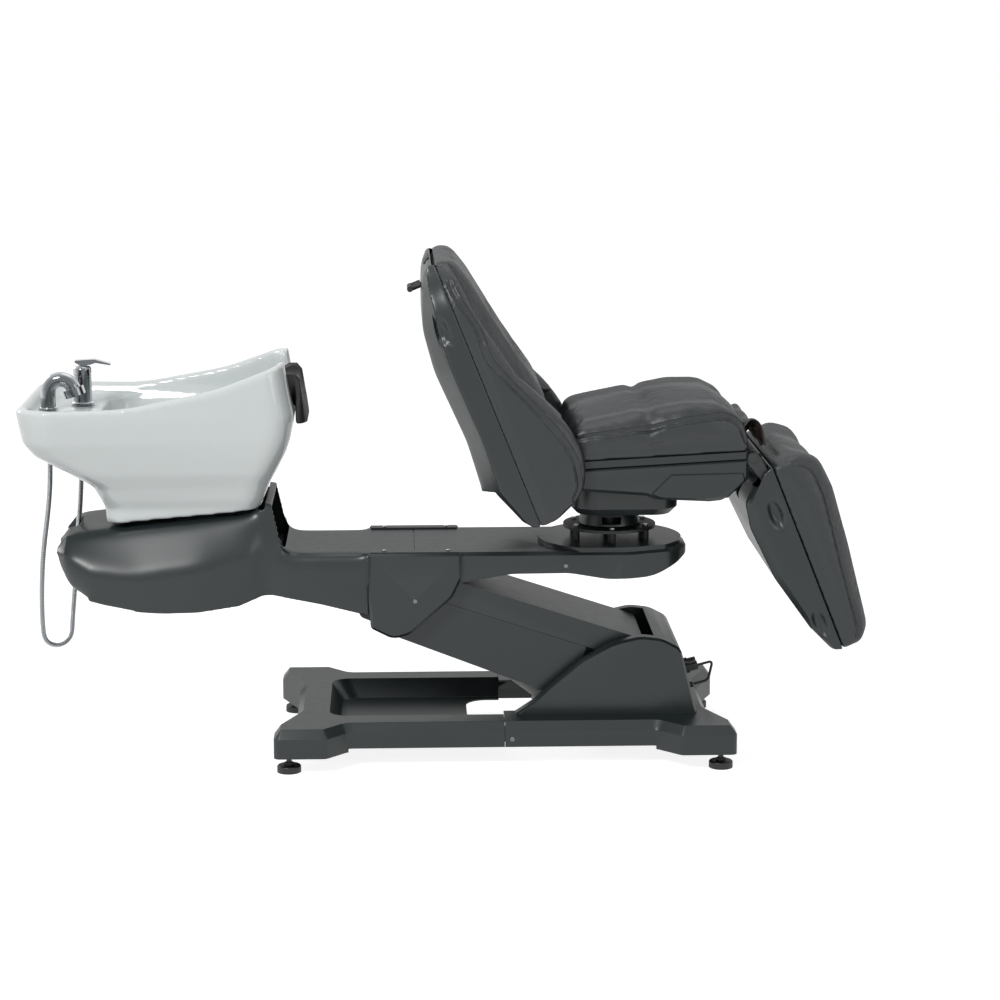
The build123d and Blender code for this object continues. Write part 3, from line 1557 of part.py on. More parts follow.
def swivel_cone():
    low = swivel_plate_low + swivel_plate_thickness + part_gap
    high = seat_pan_low
    outer = loft([
        Pos(swivel_x, 0, low) * Circle(cone_low_radius),
        Pos(swivel_x, 0, high) * Circle(cone_high_radius),
    ])
    inner = loft([
        Pos(swivel_x, 0, low - overrun) * Circle(cone_low_radius - cone_wall + overrun / 5),
        Pos(swivel_x, 0, high - cone_wall) * Circle(cone_high_radius - cone_wall),
    ])
    cone = outer - inner
    cone -= rod((swivel_x, 0, low), (swivel_x, 0, high + overrun), spindle_radius + running_clearance)
    half = cone_window_half_width
    window_low = low + (high - low) * 0.12
    window = block(
        swivel_x - half, swivel_x + half, -cone_low_radius * 1.2, cone_low_radius * 1.2,
        window_low, window_low + cone_window_height,
    )
    return cone - window


def seat_line(x, drop):
    # Height of the seat's base line at a place along it, less a drop
    return seat_base + seat_base_rise * (x - seat_left) / seat_length - drop


def seat_shell_corners(wall):
    right = seat_left + seat_length
    height = seat_base - seat_trim - seat_shell_low
    low = corner_list(seat_shell_shares, seat_left, seat_length, seat_shell_low, height)
    top = [
        (right, seat_line(right, seat_trim), 0),
        (seat_left, seat_line(seat_left, seat_trim), 0),
    ]
    return inset(low + top, wall)


def seat_shell():
    half = seat_half_width
    edge = seat_trim / 2
    full = seat_shell_corners(0)
    small = seat_shell_corners(edge)
    outer = side_loft([(small, -half), (full, -half + edge), (full, half - edge), (small, half)], ruled=True)
    inner = seat_shell_corners(back_wall)
    top = seat_base + seat_base_rise + overrun
    inner = [(x, top if z > seat_base - seat_trim - back_wall * 2 else z, r) for x, z, r in inner]
    shell = outer - slab(inner, -half + edge + back_wall, half - edge - back_wall)
    panel = corner_list(
        seat_panel_shares, seat_left, seat_length, seat_shell_low, seat_base - seat_trim - seat_shell_low
    )
    raised = side_loft([
        (panel, half - part_gap),
        (inset(panel, seat_panel_rise), half + seat_panel_rise),
    ], ruled=True)
    shell += both_sides(raised)
    # Pan under the middle, open to the seat above it
    pan = [
        (seat_pan_left, -seat_pan_half_width, seat_pan_half_width * 0.35),
        (seat_pan_left + seat_pan_length, -seat_pan_half_width, seat_pan_half_width * 0.35),
        (seat_pan_left + seat_pan_length, seat_pan_half_width, seat_pan_half_width * 0.35),
        (seat_pan_left, seat_pan_half_width, seat_pan_half_width * 0.35),
    ]
    pan_break = seat_pan_low + seat_trim
    pan_top = seat_shell_low + seat_trim
    low_pan = inset(pan, seat_trim)
    outer_pan = plan_loft([(low_pan, seat_pan_low), (pan, pan_break)]) + plate(pan, pan_break, pan_top)
    inner_low = inset(pan, seat_trim + back_wall)
    inner_pan = inset(pan, back_wall)
    hollow_pan = plan_loft([(inner_low, seat_pan_low + back_wall), (inner_pan, pan_break)])
    hollow_pan += plate(inner_pan, pan_break, seat_base - seat_trim - back_wall)
    shell = (shell + outer_pan) - hollow_pan
    shell -= rod(
        (swivel_x, 0, seat_pan_low - overrun), (swivel_x, 0, seat_pan_low + overrun), spindle_radius + part_gap
    )
    # Ways for the two actuators
    rod_way = actuator_motor_radius * actuator_small
    shell -= block(
        seat_left - overrun, seat_pan_left + overrun * 2.2, actuator_y - rod_way, actuator_y + rod_way,
        seat_pan_low + back_wall * 3, seat_base - seat_trim,
    )
    right = seat_left + seat_length
    shell -= block(
        right - overrun * 3, right + overrun, -actuator_y - rod_way, -actuator_y + rod_way,
        seat_shell_low - back_wall, seat_base + seat_base_rise,
    )
    pan_right = seat_pan_left + seat_pan_length
    shell -= block(
        pan_right - back_wall * 1.5, right - overrun * 2, -actuator_y - rod_way, -actuator_y + rod_way,
        leg_motor_z - rod_way - part_gap, leg_motor_z + rod_way,
    )
    # Slots for the recline arms and for the leg rest's ears
    slot = part_gap / 2
    shell -= both_sides(block(
        seat_left - overrun, seat_left + overrun, recline_arm_y - slot, recline_arm_y + frame_plate + slot,
        seat_base - seat_trim - seat_frame_tube * 1.2, seat_base,
    ))
    shell -= both_sides(block(
        right - overrun, right + overrun, leg_ear_y - slot, leg_ear_y + frame_plate + slot,
        seat_base - seat_trim - seat_frame_tube, seat_base + seat_base_rise,
    ))
    return shell - leg_ear_room()


def leg_ear_room():
    # Notch at the seat's right corners for the leg rest's ears and bolt heads
    right = seat_left + seat_length
    return both_sides(block(
        right - leg_pin_radius, right + overrun, leg_ear_y - part_gap / 2, seat_half_width + overrun,
        leg_pivot_z - leg_pin_radius * 2.6, leg_pivot_z + leg_pin_radius * 3,
    ))


def seat_trim_band():
    # The board under the cushion, whose edge shows as a dark band
    right = seat_left + seat_length
    corners = [
        (seat_left, seat_line(seat_left, seat_trim), 0),
        (right, seat_line(right, seat_trim), 0),
        (right, seat_line(right, 0), 0),
        (seat_left, seat_line(seat_left, 0), 0),
    ]
    return slab(corners, -seat_half_width, seat_half_width) - leg_ear_room()


def seat_cushion():
    raw = corner_list(seat_cushion_shares, seat_left, seat_length, seat_base, seat_cushion_height)
    full = [(x, z + soft_gap, r) for x, z, r in raw]
    half = seat_half_width

    def shaped(rise, pull):
        middle = seat_left + seat_length / 2
        points = []
        for x, z, r in full:
            base = seat_line(x, 0) + soft_gap
            points.append((middle + (x - middle) * pull, base + (z - base) * rise, r))
        return points

    stations = [
        (-1.000, 0.74, 0.975), (-0.965, 0.93, 0.995), (-0.820, 1.00, 1.000), (-0.420, 0.98, 1.000),
        (0.000, 1.03, 1.000),
        (0.420, 0.98, 1.000), (0.820, 1.00, 1.000), (0.965, 0.93, 0.995), (1.000, 0.74, 0.975),
    ]
    return side_loft([(shaped(rise, pull), half * y) for y, rise, pull in stations])


def seat_frame():
    # Steel ladder inside the seat with the hinge ears at both ends
    tube = seat_frame_tube
    low = seat_base - seat_trim - tube
    high = low + tube - back_wall
    inner = seat_half_width - tube * 2.2
    right = seat_left + seat_length - tube * 2
    frame = both_sides(block(seat_left + tube, right, inner - tube, inner, low, high))
    side = leg_ear_y + frame_plate
    frame += block(seat_left + tube, seat_left + tube * 2, -inner, inner, low, high)
    frame += block(right - tube, right, -side, side, low + part_gap * 2, high)
    pad = tube * 3
    frame += block(swivel_x - pad, swivel_x + pad, -inner, inner, low, low + tube / 3)
    collar_low = seat_pan_low + cone_wall * 2 + part_gap
    frame += rod((swivel_x, 0, collar_low), (swivel_x, 0, low + tube / 3), spindle_radius + tube / 2)
    # Arms that carry the recline pins
    lug = back_pin_radius * 2.2
    arm = [
        (seat_left + tube * 1.5, low, 0),
        (seat_left + tube * 1.5, high, 0),
        (seat_left - part_gap * 2, high, 0),
        (back_pivot_x + lug, back_pivot_z + lug, lug * 0.9),
        (back_pivot_x - lug, back_pivot_z + lug, lug * 0.9),
        (back_pivot_x - lug, back_pivot_z - lug, lug * 0.9),
    ]
    frame += bar_pair(counter_clock(arm), recline_arm_y, frame_plate)
    frame -= pin_pair(back_pivot_x, back_pivot_z, back_pin_radius, recline_arm_y - overrun, recline_arm_y + overrun)
    # Ears that carry the leg rest's pins
    lug = leg_pin_radius * 1.6
    end = seat_left + seat_length
    under = seat_line(end, seat_trim) - part_gap
    ear = [
        (right - tube, low + part_gap * 2, 0),
        (right, low + part_gap * 2, 0),
        (leg_pivot_x + lug, leg_pivot_z - lug * 1.2, lug * 0.8),
        (leg_pivot_x + lug, leg_pivot_z + lug, lug * 0.8),
        (end + part_gap, leg_pivot_z + lug, lug * 0.3),
        (end + part_gap, under, 0),
        (right - tube, high, 0),
    ]
    frame += bar_pair(counter_clock(ear), leg_ear_y, frame_plate)
    frame -= pin_pair(leg_pivot_x, leg_pivot_z, leg_pin_radius, leg_ear_y - overrun, leg_ear_y + overrun)
    # Way for the leg actuator's tube, which rises as it pushes
    tube_half = actuator_small * actuator_tube_radius + part_gap * 2
    frame -= block(
        right - tube - overrun, right + overrun, -actuator_y - tube_half, -actuator_y + tube_half,
        low - overrun, high + overrun,
    )
    # Clevises of the two small actuators
    eye = actuator_eye_radius * actuator_small
    gap = actuator_eye_half_width * actuator_small + part_gap
    for x, z, y in ((recline_motor_x, recline_motor_z, actuator_y), (leg_motor_x, leg_motor_z, -actuator_y)):
        half = eye * 0.8
        clevis = [
            (x - half, z - eye, half * 0.9),
            (x + half, z - eye, half * 0.9),
            (x + half, low + part_gap, 0),
            (x - half, low + part_gap, 0),
        ]
        for start in (y - gap - frame_plate, y + gap):
            frame += slab(clevis, start, start + frame_plate)
        frame += block(x - eye, x + half, -inner, inner, low, low + tube / 3)
        frame -= rod((x, y - overrun, z), (x, y + overrun, z), actuator_pin_radius)
    return frame


def seat_pins():
    # Pins of the recline, of the leg rest and of the two actuator motors
    recline = pin_pair(
        back_pivot_x, back_pivot_z, back_pin_radius, recline_arm_y - part_gap,
        recline_arm_y + frame_plate * 2 + part_gap * 2,
    )
    leg = pin_pair(
        leg_pivot_x, leg_pivot_z, leg_pin_radius, leg_ear_y - part_gap,
        leg_ear_y + frame_plate * 2 + part_gap * 2,
    )
    head_y = leg_ear_y + frame_plate * 2 + part_gap * 2
    leg += pin_pair(leg_pivot_x, leg_pivot_z, leg_pin_radius * 1.5, head_y, head_y + frame_plate)
    pins = recline.solids() + leg.solids()
    reach = actuator_eye_half_width * actuator_small + part_gap + frame_plate
    for x, z, y in ((recline_motor_x, recline_motor_z, actuator_y), (leg_motor_x, leg_motor_z, -actuator_y)):
        pins.append(rod((x, y - reach, z), (x, y + reach, z), actuator_pin_radius))
    return pins


def back_point(along, height):
    span_x = back_top_x - back_seam_x
    span_z = back_top_z - back_seam_z
    length = math.hypot(span_x, span_z)
    x = span_x / length
    z = span_z / length
    return (back_seam_x + along * x + height * z, back_seam_z + along * z - height * x)


back_length = math.hypot(back_top_x - back_seam_x, back_top_z - back_seam_z)


def back_corners(shares, thick=1.0, pull=1.0):
    points = []
    for along, height, radius in shares:
        share = 0.5 + (along - 0.5) * pull
        x, z = back_point(back_length * share, back_depth * height * thick)
        points.append((x, z, back_depth * radius))
    return counter_clock(points)


def counter_clock(points):
    area = 0
    for index, (x, z, radius) in enumerate(points):
        area += points[index - 1][0] * z - x * points[index - 1][1]
    return points if area > 0 else points[::-1]


def back_seat_room(grow):
    # The space between the side wings that the seat needs at every angle
    half = back_gap_half_width - grow
    high = back_length * 0.05 + back_centre_start * 0.6
    spots = [
        (-overrun, -back_depth), (high, -back_depth), (high, back_depth), (-overrun, back_depth),
    ]
    corners = counter_clock([back_point(a, h) + (0,) for a, h in spots])
    return slab(corners, -half, half)


def back_front_mask(edge):
    # The back seen square on: straight sides and rounded upper corners
    half = back_half_width - edge
    top = back_length * back_reach_share - edge
    radius = back_length * back_round_share - edge
    corners = [(-back_depth, -half, 0), (top, -half, radius), (top, half, radius), (-back_depth, half, 0)]
    along_x, along_z = (back_top_x - back_seam_x) / back_length, (back_top_z - back_seam_z) / back_length
    face = Pos(0, 0, -back_depth) * rounded_face(corners)
    place = Plane(origin=(back_seam_x, 0, back_seam_z), x_dir=(along_x, 0, along_z), z_dir=(along_z, 0, -along_x))
    return place.location * extrude(face, amount=back_depth * 2, dir=(0, 0, 1))


def back_shell_mass():
    half = back_half_width
    side = back_corners(back_shell_shares, back_side_share, 0.985)
    edge = back_corners(back_shell_shares, back_side_share * 1.1)
    middle = back_corners(back_shell_shares, 0.98)
    return side_loft([
        (side, -half), (edge, -half * 0.955), (middle, -half * 0.62),
        (middle, half * 0.62), (edge, half * 0.955), (side, half),
    ], ruled=True) & back_front_mask(0)


def back_shell():
    half = back_half_width
    outer = back_shell_mass()

    def hollow(shares_thick, pull):
        corners = inset(back_corners(back_shell_shares, shares_thick, pull), back_wall)
        return corners

    inner = side_loft([
        (hollow(back_side_share, 0.985), -half + back_wall),
        (hollow(back_side_share * 1.1, 1.0), -half * 0.955 + back_wall),
        (hollow(0.98, 1.0), -half * 0.62 + back_wall / 2),
        (hollow(0.98, 1.0), half * 0.62 - back_wall / 2),
        (hollow(back_side_share * 1.1, 1.0), half * 0.955 - back_wall),
        (hollow(back_side_share, 0.985), half - back_wall),
    ], ruled=True) & back_front_mask(back_wall)
    spots = [
        (back_length * 0.02, -back_wall * 4), (back_length * 0.98, -back_wall * 4),
        (back_length * 0.98, overrun), (back_length * 0.02, overrun),
    ]
    front = slab(
        counter_clock([back_point(a, h) + (0,) for a, h in spots]), -half * 0.955 + back_wall, half * 0.955 - back_wall
    )
    front &= back_front_mask(back_wall)
    return (outer - inner - front) - back_seat_room(0)


def back_cushion():
    half = back_bolster_inner - soft_gap
    stations = [
        (-1.00, 0.86), (-0.94, 0.97), (-0.50, 1.02), (0.00, 1.04), (0.50, 1.02), (0.94, 0.97), (1.00, 0.86),
    ]
    sections = [(back_corners(back_cushion_shares, thick, 1.0), half * y) for y, thick in stations]
    cushion = side_loft(sections) & back_front_mask(0)
    room = rod((back_pivot_x, -half, back_pivot_z), (back_pivot_x, half, back_pivot_z), back_clear_radius)
    low = back_length * back_cushion_shares[0][0]
    below = [
        (low - overrun * 3, -back_depth), (low, -back_depth), (low, back_depth * 1.2),
        (low - overrun * 3, back_depth * 1.2),
    ]
    corners = counter_clock([back_point(a, h) + (0,) for a, h in below])
    return cushion - (slab(corners, -half, half) - room)


def back_bolster(side):
    half = back_half_width
    inner = back_bolster_inner + soft_gap
    width = half - inner
    stations = [(0.00, 0.90), (0.10, 1.00), (0.55, 1.02), (0.88, 0.97), (1.00, 0.80)]
    sections = [(back_corners(back_bolster_shares, thick, 1.0), inner + width * y) for y, thick in stations]
    bolster = side_loft(sections) & back_front_mask(0)
    high = back_length * 0.05 + back_centre_start * 0.6 + overrun * 3.2
    spots = [
        (-overrun, -back_depth), (high, -back_depth), (high, back_depth), (-overrun, back_depth),
    ]
    corners = counter_clock([back_point(a, h) + (0,) for a, h in spots])
    bolster -= slab(corners, 0, back_gap_half_width)
    return bolster if side > 0 else mirror(bolster, about=Plane.XZ)


def back_board():
    # Plywood board that closes the shell and carries the cushions
    low = back_length * 0.268
    high = back_length * 0.965
    thick = back_wall * 2
    spots = [(low, -thick - part_gap * 2), (high, -thick - part_gap * 2), (high, -part_gap * 2), (low, -part_gap * 2)]
    corners = counter_clock([back_point(a, h) + (0,) for a, h in spots])
    half = back_half_width * 0.93
    return slab(corners, -half, half) & back_front_mask(back_wall * 3)


def back_slab(spots, y_low, y_high):
    return slab(counter_clock([back_point(a, h) + (r,) for a, h, r in spots]), y_low, y_high)


def back_frame():
    # Steel hoop in the shell and the two arms that turn on the recline pins
    tube = seat_frame_tube
    height = -back_wall * 2 - part_gap * 3
    low = back_length * 0.27
    high = back_length * 0.90

    def bar(a_low, a_high, y_low, y_high):
        spots = [(a_low, height - tube, 0), (a_high, height - tube, 0), (a_high, height, 0), (a_low, height, 0)]
        return back_slab(spots, y_low, y_high)

    outer = back_half_width - tube * 2.4
    frame = both_sides(bar(low, high, outer - tube, outer))
    frame += bar(low, low + tube, -outer, outer)
    frame += bar(high - tube, high, -outer, outer)
    frame += bar(back_length * 0.55, back_length * 0.55 + tube, -outer, outer)
    arm_y = recline_arm_y + frame_plate + part_gap
    lug = back_pin_radius * 2.2
    along = (back_pivot_z - back_seam_z) / back_length * (back_top_z - back_seam_z)
    along += (back_pivot_x - back_seam_x) / back_length * (back_top_x - back_seam_x)
    ahead = (back_pivot_x - back_seam_x) / back_length * (back_top_z - back_seam_z)
    ahead -= (back_pivot_z - back_seam_z) / back_length * (back_top_x - back_seam_x)
    arm = [
        (low + tube, height - tube, 0),
        (low, height, 0),
        (low - lug * 0.3, height, 0),
        (along + lug, ahead - lug * 0.2, lug * 0.4),
        (along + lug, ahead + lug, lug * 0.9),
        (along - lug, ahead + lug, lug * 0.9),
        (along - lug, ahead - lug, lug * 0.9),
        (low - lug, height - tube, 0),
    ]
    frame += both_sides(back_slab(arm, arm_y, arm_y + frame_plate))
    hole = back_pin_radius + running_clearance
    frame -= pin_pair(back_pivot_x, back_pivot_z, hole, arm_y - part_gap / 2, arm_y + overrun)
    # Ears for the rod of the recline actuator
    x, z = back_link_x - back_seam_x, back_link_z - back_seam_z
    link_along = (x * (back_top_x - back_seam_x) + z * (back_top_z - back_seam_z)) / back_length
    link_ahead = (x * (back_top_z - back_seam_z) - z * (back_top_x - back_seam_x)) / back_length
    eye = actuator_eye_radius * actuator_small
    ear = [
        (low + tube, height - tube, 0),
        (low, height, 0),
        (link_along - eye, link_ahead + eye, eye * 0.9),
        (link_along - eye, link_ahead - eye, eye * 0.9),
        (link_along + eye, link_ahead - eye, eye * 0.5),
    ]
    gap = actuator_eye_half_width * actuator_small + part_gap * 2
    for start in (actuator_y - gap - frame_plate, actuator_y + gap):
        frame += back_slab(ear, start, start + frame_plate)
    reach = gap + frame_plate
    pin_low = (back_link_x, actuator_y - reach, back_link_z)
    pin_high = (back_link_x, actuator_y + reach, back_link_z)
    return frame + rod(pin_low, pin_high, actuator_pin_radius)


def rear_handle():
    # Small grip across the top of the back shell
    along = back_length * 0.905
    outer = -back_depth * 0.40
    inner = -back_depth * 0.27
    reach = seat_frame_tube * 1.5
    bar_x, bar_z = back_point(along, outer)
    foot_x, foot_z = back_point(along, inner)
    radius = seat_frame_tube * 0.28
    grip = rod((bar_x, -reach, bar_z), (bar_x, reach, bar_z), radius)
    for side in (-1, 1):
        y = side * (reach - radius)
        grip += rod((bar_x, y, bar_z), (foot_x, y, foot_z), radius * 0.9)
    return grip - back_shell_mass()


def head_slot_cover():
    # Blank cover of the slot in the shell's top end, lying on its slope
    (a_one, h_one, _), (a_two, h_two, _) = back_shell_shares[-2:]
    end_one = Vector(back_length * a_one, back_depth * h_one * 0.98)
    end_two = Vector(back_length * a_two, back_depth * h_two * 0.98)
    edge = end_two - end_one
    out = Vector(edge.Y, -edge.X).normalized() * (back_wall / 2)
    spots = []
    for share, side in ((0.28, 1), (0.28, -1), (0.72, -1), (0.72, 1)):
        spot = end_one + edge * share + out * side
        spots.append((spot.X, spot.Y, 0))
    half = seat_frame_tube * 2
    return back_slab(spots, -half, half) - back_shell_mass()


def leg_point(along, height):
    span_x = leg_end_x - leg_seam_x
    span_z = leg_end_z - leg_seam_z
    length = math.hypot(span_x, span_z)
    x = span_x / length
    z = span_z / length
    return (leg_seam_x + along * x - height * z, leg_seam_z + along * z + height * x)


def leg_slab(spots, y_low, y_high):
    return slab(counter_clock([leg_point(a, h) + (r,) for a, h, r in spots]), y_low, y_high)


leg_length = math.hypot(leg_end_x - leg_seam_x, leg_end_z - leg_seam_z)


def leg_corners(shares, thick=1.0, pull=1.0):
    points = []
    for along, height, radius in shares:
        share = 0.5 + (along - 0.5) * pull
        x, z = leg_point(leg_length * share, leg_depth * height * thick)
        points.append((x, z, leg_depth * radius))
    return counter_clock(points)


def leg_shell():
    half = leg_half_width
    wide = leg_corners(leg_shell_shares, 0.80, 0.985)
    full = leg_corners(leg_shell_shares, 1.0, 1.0)
    outer = side_loft([
        (wide, -half), (full, -half * 0.94), (full, half * 0.94), (wide, half),
    ], ruled=True)
    inner = side_loft([
        (inset(wide, leg_wall), -half + leg_wall),
        (inset(full, leg_wall), -half * 0.94 + leg_wall),
        (inset(full, leg_wall), half * 0.94 - leg_wall),
        (inset(wide, leg_wall), half - leg_wall),
    ], ruled=True)
    shell = outer - inner
    front_half = half * 0.94 - leg_wall
    front = leg_slab([
        (leg_wall, -leg_wall * 3, 0), (leg_length - leg_wall, -leg_wall * 3, 0),
        (leg_length - leg_wall, overrun, 0), (leg_wall, overrun, 0),
    ], -front_half, front_half)
    shell -= front
    way = actuator_motor_radius * actuator_small
    x, z = leg_point(0, 0)
    shell -= block(
        x - leg_depth, x - leg_wall, -actuator_y - way, -actuator_y + way, z - leg_depth, z + overrun
    )
    slot = part_gap / 2
    ear_low = leg_ear_y - slot
    ear_high = leg_ear_y + frame_plate * 3 + part_gap * 3
    room = both_sides(block(
        leg_pivot_x - overrun, leg_pivot_x + overrun * 1.2, ear_low - leg_pin_radius * 2, ear_high,
        leg_pivot_z - overrun * 2.2, leg_pivot_z + overrun,
    ))
    return shell - room


def leg_cushion():
    half = leg_half_width
    stations = [
        (-1.00, 0.74, 0.97), (-0.95, 0.94, 0.995), (-0.50, 1.00, 1.0), (0.00, 1.03, 1.0),
        (0.50, 1.00, 1.0), (0.95, 0.94, 0.995), (1.00, 0.74, 0.97),
    ]
    sections = [(leg_corners(leg_cushion_shares, thick, pull), half * y) for y, thick, pull in stations]
    return side_loft(sections)


def leg_frame():
    # Steel hoop inside the leg rest, its two hinge ears and the ears for the actuator rod
    tube = seat_frame_tube
    top = -leg_wall * 2.8
    start = tube * 0.9
    end = leg_length * 0.9
    outer = leg_half_width - leg_wall * 3
    frame = both_sides(leg_slab([
        (start, top - tube, 0), (end, top - tube * 0.6, 0), (end, top, 0), (start, top, 0),
    ], outer - tube, outer))
    for along in (start + tube * 1.5, leg_length * 0.45, end - tube):
        frame += leg_slab([
            (along, top - tube * 0.6, 0), (along + tube, top - tube * 0.6, 0), (along + tube, top, 0), (along, top, 0),
        ], -outer, outer)
    lug = leg_pin_radius * 1.6
    ear_y = leg_ear_y + frame_plate + part_gap
    join_x, join_z = leg_point(start + tube * 0.8, top - tube * 0.3)
    ear = [
        (leg_pivot_x - lug, leg_pivot_z - lug, lug * 0.8),
        (join_x - tube * 0.3, join_z - tube * 0.3, 0),
        (join_x + tube * 0.3, join_z + tube * 0.3, 0),
        (leg_pivot_x + lug, leg_pivot_z + lug, lug * 0.8),
        (leg_pivot_x - lug, leg_pivot_z + lug, lug * 0.8),
    ]
    frame += bar_pair(counter_clock(ear), ear_y, frame_plate)
    hole = leg_pin_radius + running_clearance
    frame -= pin_pair(leg_pivot_x, leg_pivot_z, hole, ear_y - part_gap / 2, ear_y + overrun)
    eye = actuator_eye_radius * actuator_small
    link = [
        (leg_rod_x - eye, leg_rod_z - eye, eye * 0.9),
        leg_point(start + tube * 2, top - tube * 0.5) + (0,),
        leg_point(start + tube * 1.8, top - tube * 0.1) + (0,),
        (leg_rod_x + eye * 0.6, leg_rod_z + eye, 0),
        (leg_rod_x - eye, leg_rod_z + eye, eye * 0.9),
    ]
    gap = actuator_eye_half_width * actuator_small + part_gap * 2
    for low in (-actuator_y - gap - frame_plate, -actuator_y + gap):
        frame += slab(link, low, low + frame_plate)
    reach = gap + frame_plate
    pin_low = (leg_rod_x, -actuator_y - reach, leg_rod_z)
    pin_high = (leg_rod_x, -actuator_y + reach, leg_rod_z)
    return frame + rod(pin_low, pin_high, actuator_pin_radius)


def leg_board():
    half = leg_half_width * 0.94 - leg_wall
    return leg_slab([
        (leg_wall * 2, -leg_wall * 2.8, 0), (leg_length - leg_wall * 2, -leg_wall * 2.8, 0),
        (leg_length - leg_wall * 2, 0, 0), (leg_wall * 2, 0, 0),
    ], -half, half)


# Power panel on the tower's rear face
tower_face_low = tower_corners[2]
tower_face_high = tower_corners[3]


def tower_face_point(share, out):
    span_x = tower_face_high[0] - tower_face_low[0]
    span_z = tower_face_high[1] - tower_face_low[1]
    length = math.hypot(span_x, span_z)
    x = tower_face_low[0] + span_x * share + out * span_z / length
    z = tower_face_low[1] + span_z * share - out * span_x / length
    return x, z


def power_panel():
    low, high, thick = panel_low_share, panel_high_share, panel_thickness
    corners = [
        tower_face_point(low, 0) + (0,),
        tower_face_point(low, thick) + (thick / 2,),
        tower_face_point(high, thick) + (thick / 2,),
        tower_face_point(high, 0) + (0,),
    ]
    return slab(counter_clock(corners), -panel_half_width, panel_half_width)


def panel_plugs():
    # Two round plugs with their collars, pushed into the panel, and the cable's gland below it
    group = []
    for y, share in plug_places():
        x_one, z_one = tower_face_point(share, panel_thickness)
        x_two, z_two = tower_face_point(share, panel_thickness + plug_length)
        x_mid, z_mid = tower_face_point(share, panel_thickness + plug_length * 0.35)
        body = rod((x_one, y, z_one), (x_two, y, z_two), plug_radius * 0.8)
        body += rod((x_one, y, z_one), (x_mid, y, z_mid), plug_radius)
        group.append(body)
    x_one, z_one = tower_face_point(gland_share, 0)
    x_two, z_two = tower_face_point(gland_share, gland_length)
    y = plug_places()[0][0]
    group.append(rod((x_one, y, z_one), (x_two, y, z_two), plug_radius / 2))
    return Compound(group)


# The link cable leaves the rear plug, bends down and goes back in below the panel
def cable_route():
    share = plug_places()[0][1]
    x_one, z_one = tower_face_point(share, panel_thickness + plug_length)
    x_two, z_two = tower_face_point(share, panel_thickness + plug_length + cable_reach)
    x_end, z_end = tower_face_point(gland_share, gland_length)
    x_far, z_far = tower_face_point(gland_share, gland_length + cable_reach)
    y = plug_places()[0][0]
    return [(x_one, y, z_one), (x_two, y, z_two), (x_far, y, z_far), (x_end, y, z_end)]


def link_cable():
    points = cable_route()
    path = FilletPolyline(*points, radius=cable_bend)
    section = Plane(origin=points[0], z_dir=path % 0) * Circle(cable_radius)
    tube = sweep(section, path=path)
    print("link cable length", round(path.length), "volume share", round(
        tube.volume / (path.length * math.pi * cable_radius ** 2), 3
    ))
    return tube


def plug_places():
    middle = (panel_low_share + panel_high_share) / 2
    return [(-plug_radius * 1.6, middle), (plug_radius * 1.6, middle)]


keep("front_base_cover", front_base_cover())
keep("rear_base_cover", rear_base_cover())
keep("base_cover_screws", base_cover_screws())
keep("base_frame", base_frame())
for foot_name, foot_x, foot_side in (
    ("levelling_foot_front_near", foot_x_left, -1),
    ("levelling_foot_front_far", foot_x_left, 1),
    ("levelling_foot_rear_near", foot_x_right, -1),
    ("levelling_foot_rear_far", foot_x_right, 1),
):
    keep(foot_name, levelling_foot(foot_x, foot_side * foot_y))
keep("base_pivot_pins", base_pivot_pins())
keep("arm_frame", arm_frame())
keep("arm_upper_cover", arm_upper_cover())
keep("arm_lower_cover", arm_lower_cover())
keep("arm_pivot_bushes", arm_pivot_bushes())
keep("tie_link", tie_link())
lift_motor, lift_rod = actuator(
    (lift_motor_x, lift_motor_z), (lift_rod_x, lift_rod_z), lift_tube_length, lift_lead
)
keep("lift_motor", lift_motor)
keep("lift_rod", lift_rod)

keep("platform_cover", platform_cover())
keep("pedestal_cover", pedestal_cover())
keep("beam_frame", beam_frame())
keep("beam_pivot_pin", beam_pivot_pin())
keep("wing_cover_near", wing_cover(-1))
keep("wing_cover_far", wing_cover(1))
keep("wing_screws", wing_screws())
keep("basin", basin())
keep("drain_strainer", drain_strainer())
keep("drain_tail", drain_tail())
keep("mixer_body", mixer_body())
keep("supply_hoses", supply_hoses())
keep("mixer_cap", mixer_cap())
keep("mixer_lever", mixer_lever())
keep("handset_socket", handset_socket())
keep("shower_hose", shower_hose())
keep("spray_handset", spray_handset())
keep("neck_rest", neck_rest())
keep("swivel_base_plate", swivel_base_plate())
keep("swivel_bolts", swivel_bolts())
keep("swivel_cone", swivel_cone())
keep("seat_shell", seat_shell())
keep("seat_trim_band", seat_trim_band())
keep("seat_cushion", seat_cushion())
keep("seat_frame", Compound(list(seat_frame().solids()) + seat_pins()))
recline_motor, recline_rod = actuator(
    (recline_motor_x, recline_motor_z), (back_link_x, back_link_z),
    recline_tube_length, recline_lead, actuator_small, actuator_y,
)
keep("recline_motor", recline_motor)
keep("recline_rod", recline_rod)
leg_motor, leg_rod = actuator(
    (leg_motor_x, leg_motor_z), (leg_rod_x, leg_rod_z), leg_tube_length, leg_lead, actuator_small, -actuator_y
)
keep("leg_motor", leg_motor)
keep("leg_rod", leg_rod)
keep("back_shell", back_shell())
keep("back_board", back_board())
keep("back_frame", back_frame())
keep("back_cushion", back_cushion())
keep("back_bolster_near", back_bolster(-1))
keep("back_bolster_far", back_bolster(1))
keep("leg_shell", leg_shell())
keep("leg_cushion", leg_cushion())
keep("leg_frame", leg_frame())
keep("leg_board", leg_board())
keep("rear_handle", rear_handle())
keep("head_slot_cover", head_slot_cover())
keep("power_panel", power_panel())
keep("panel_plugs", panel_plugs())
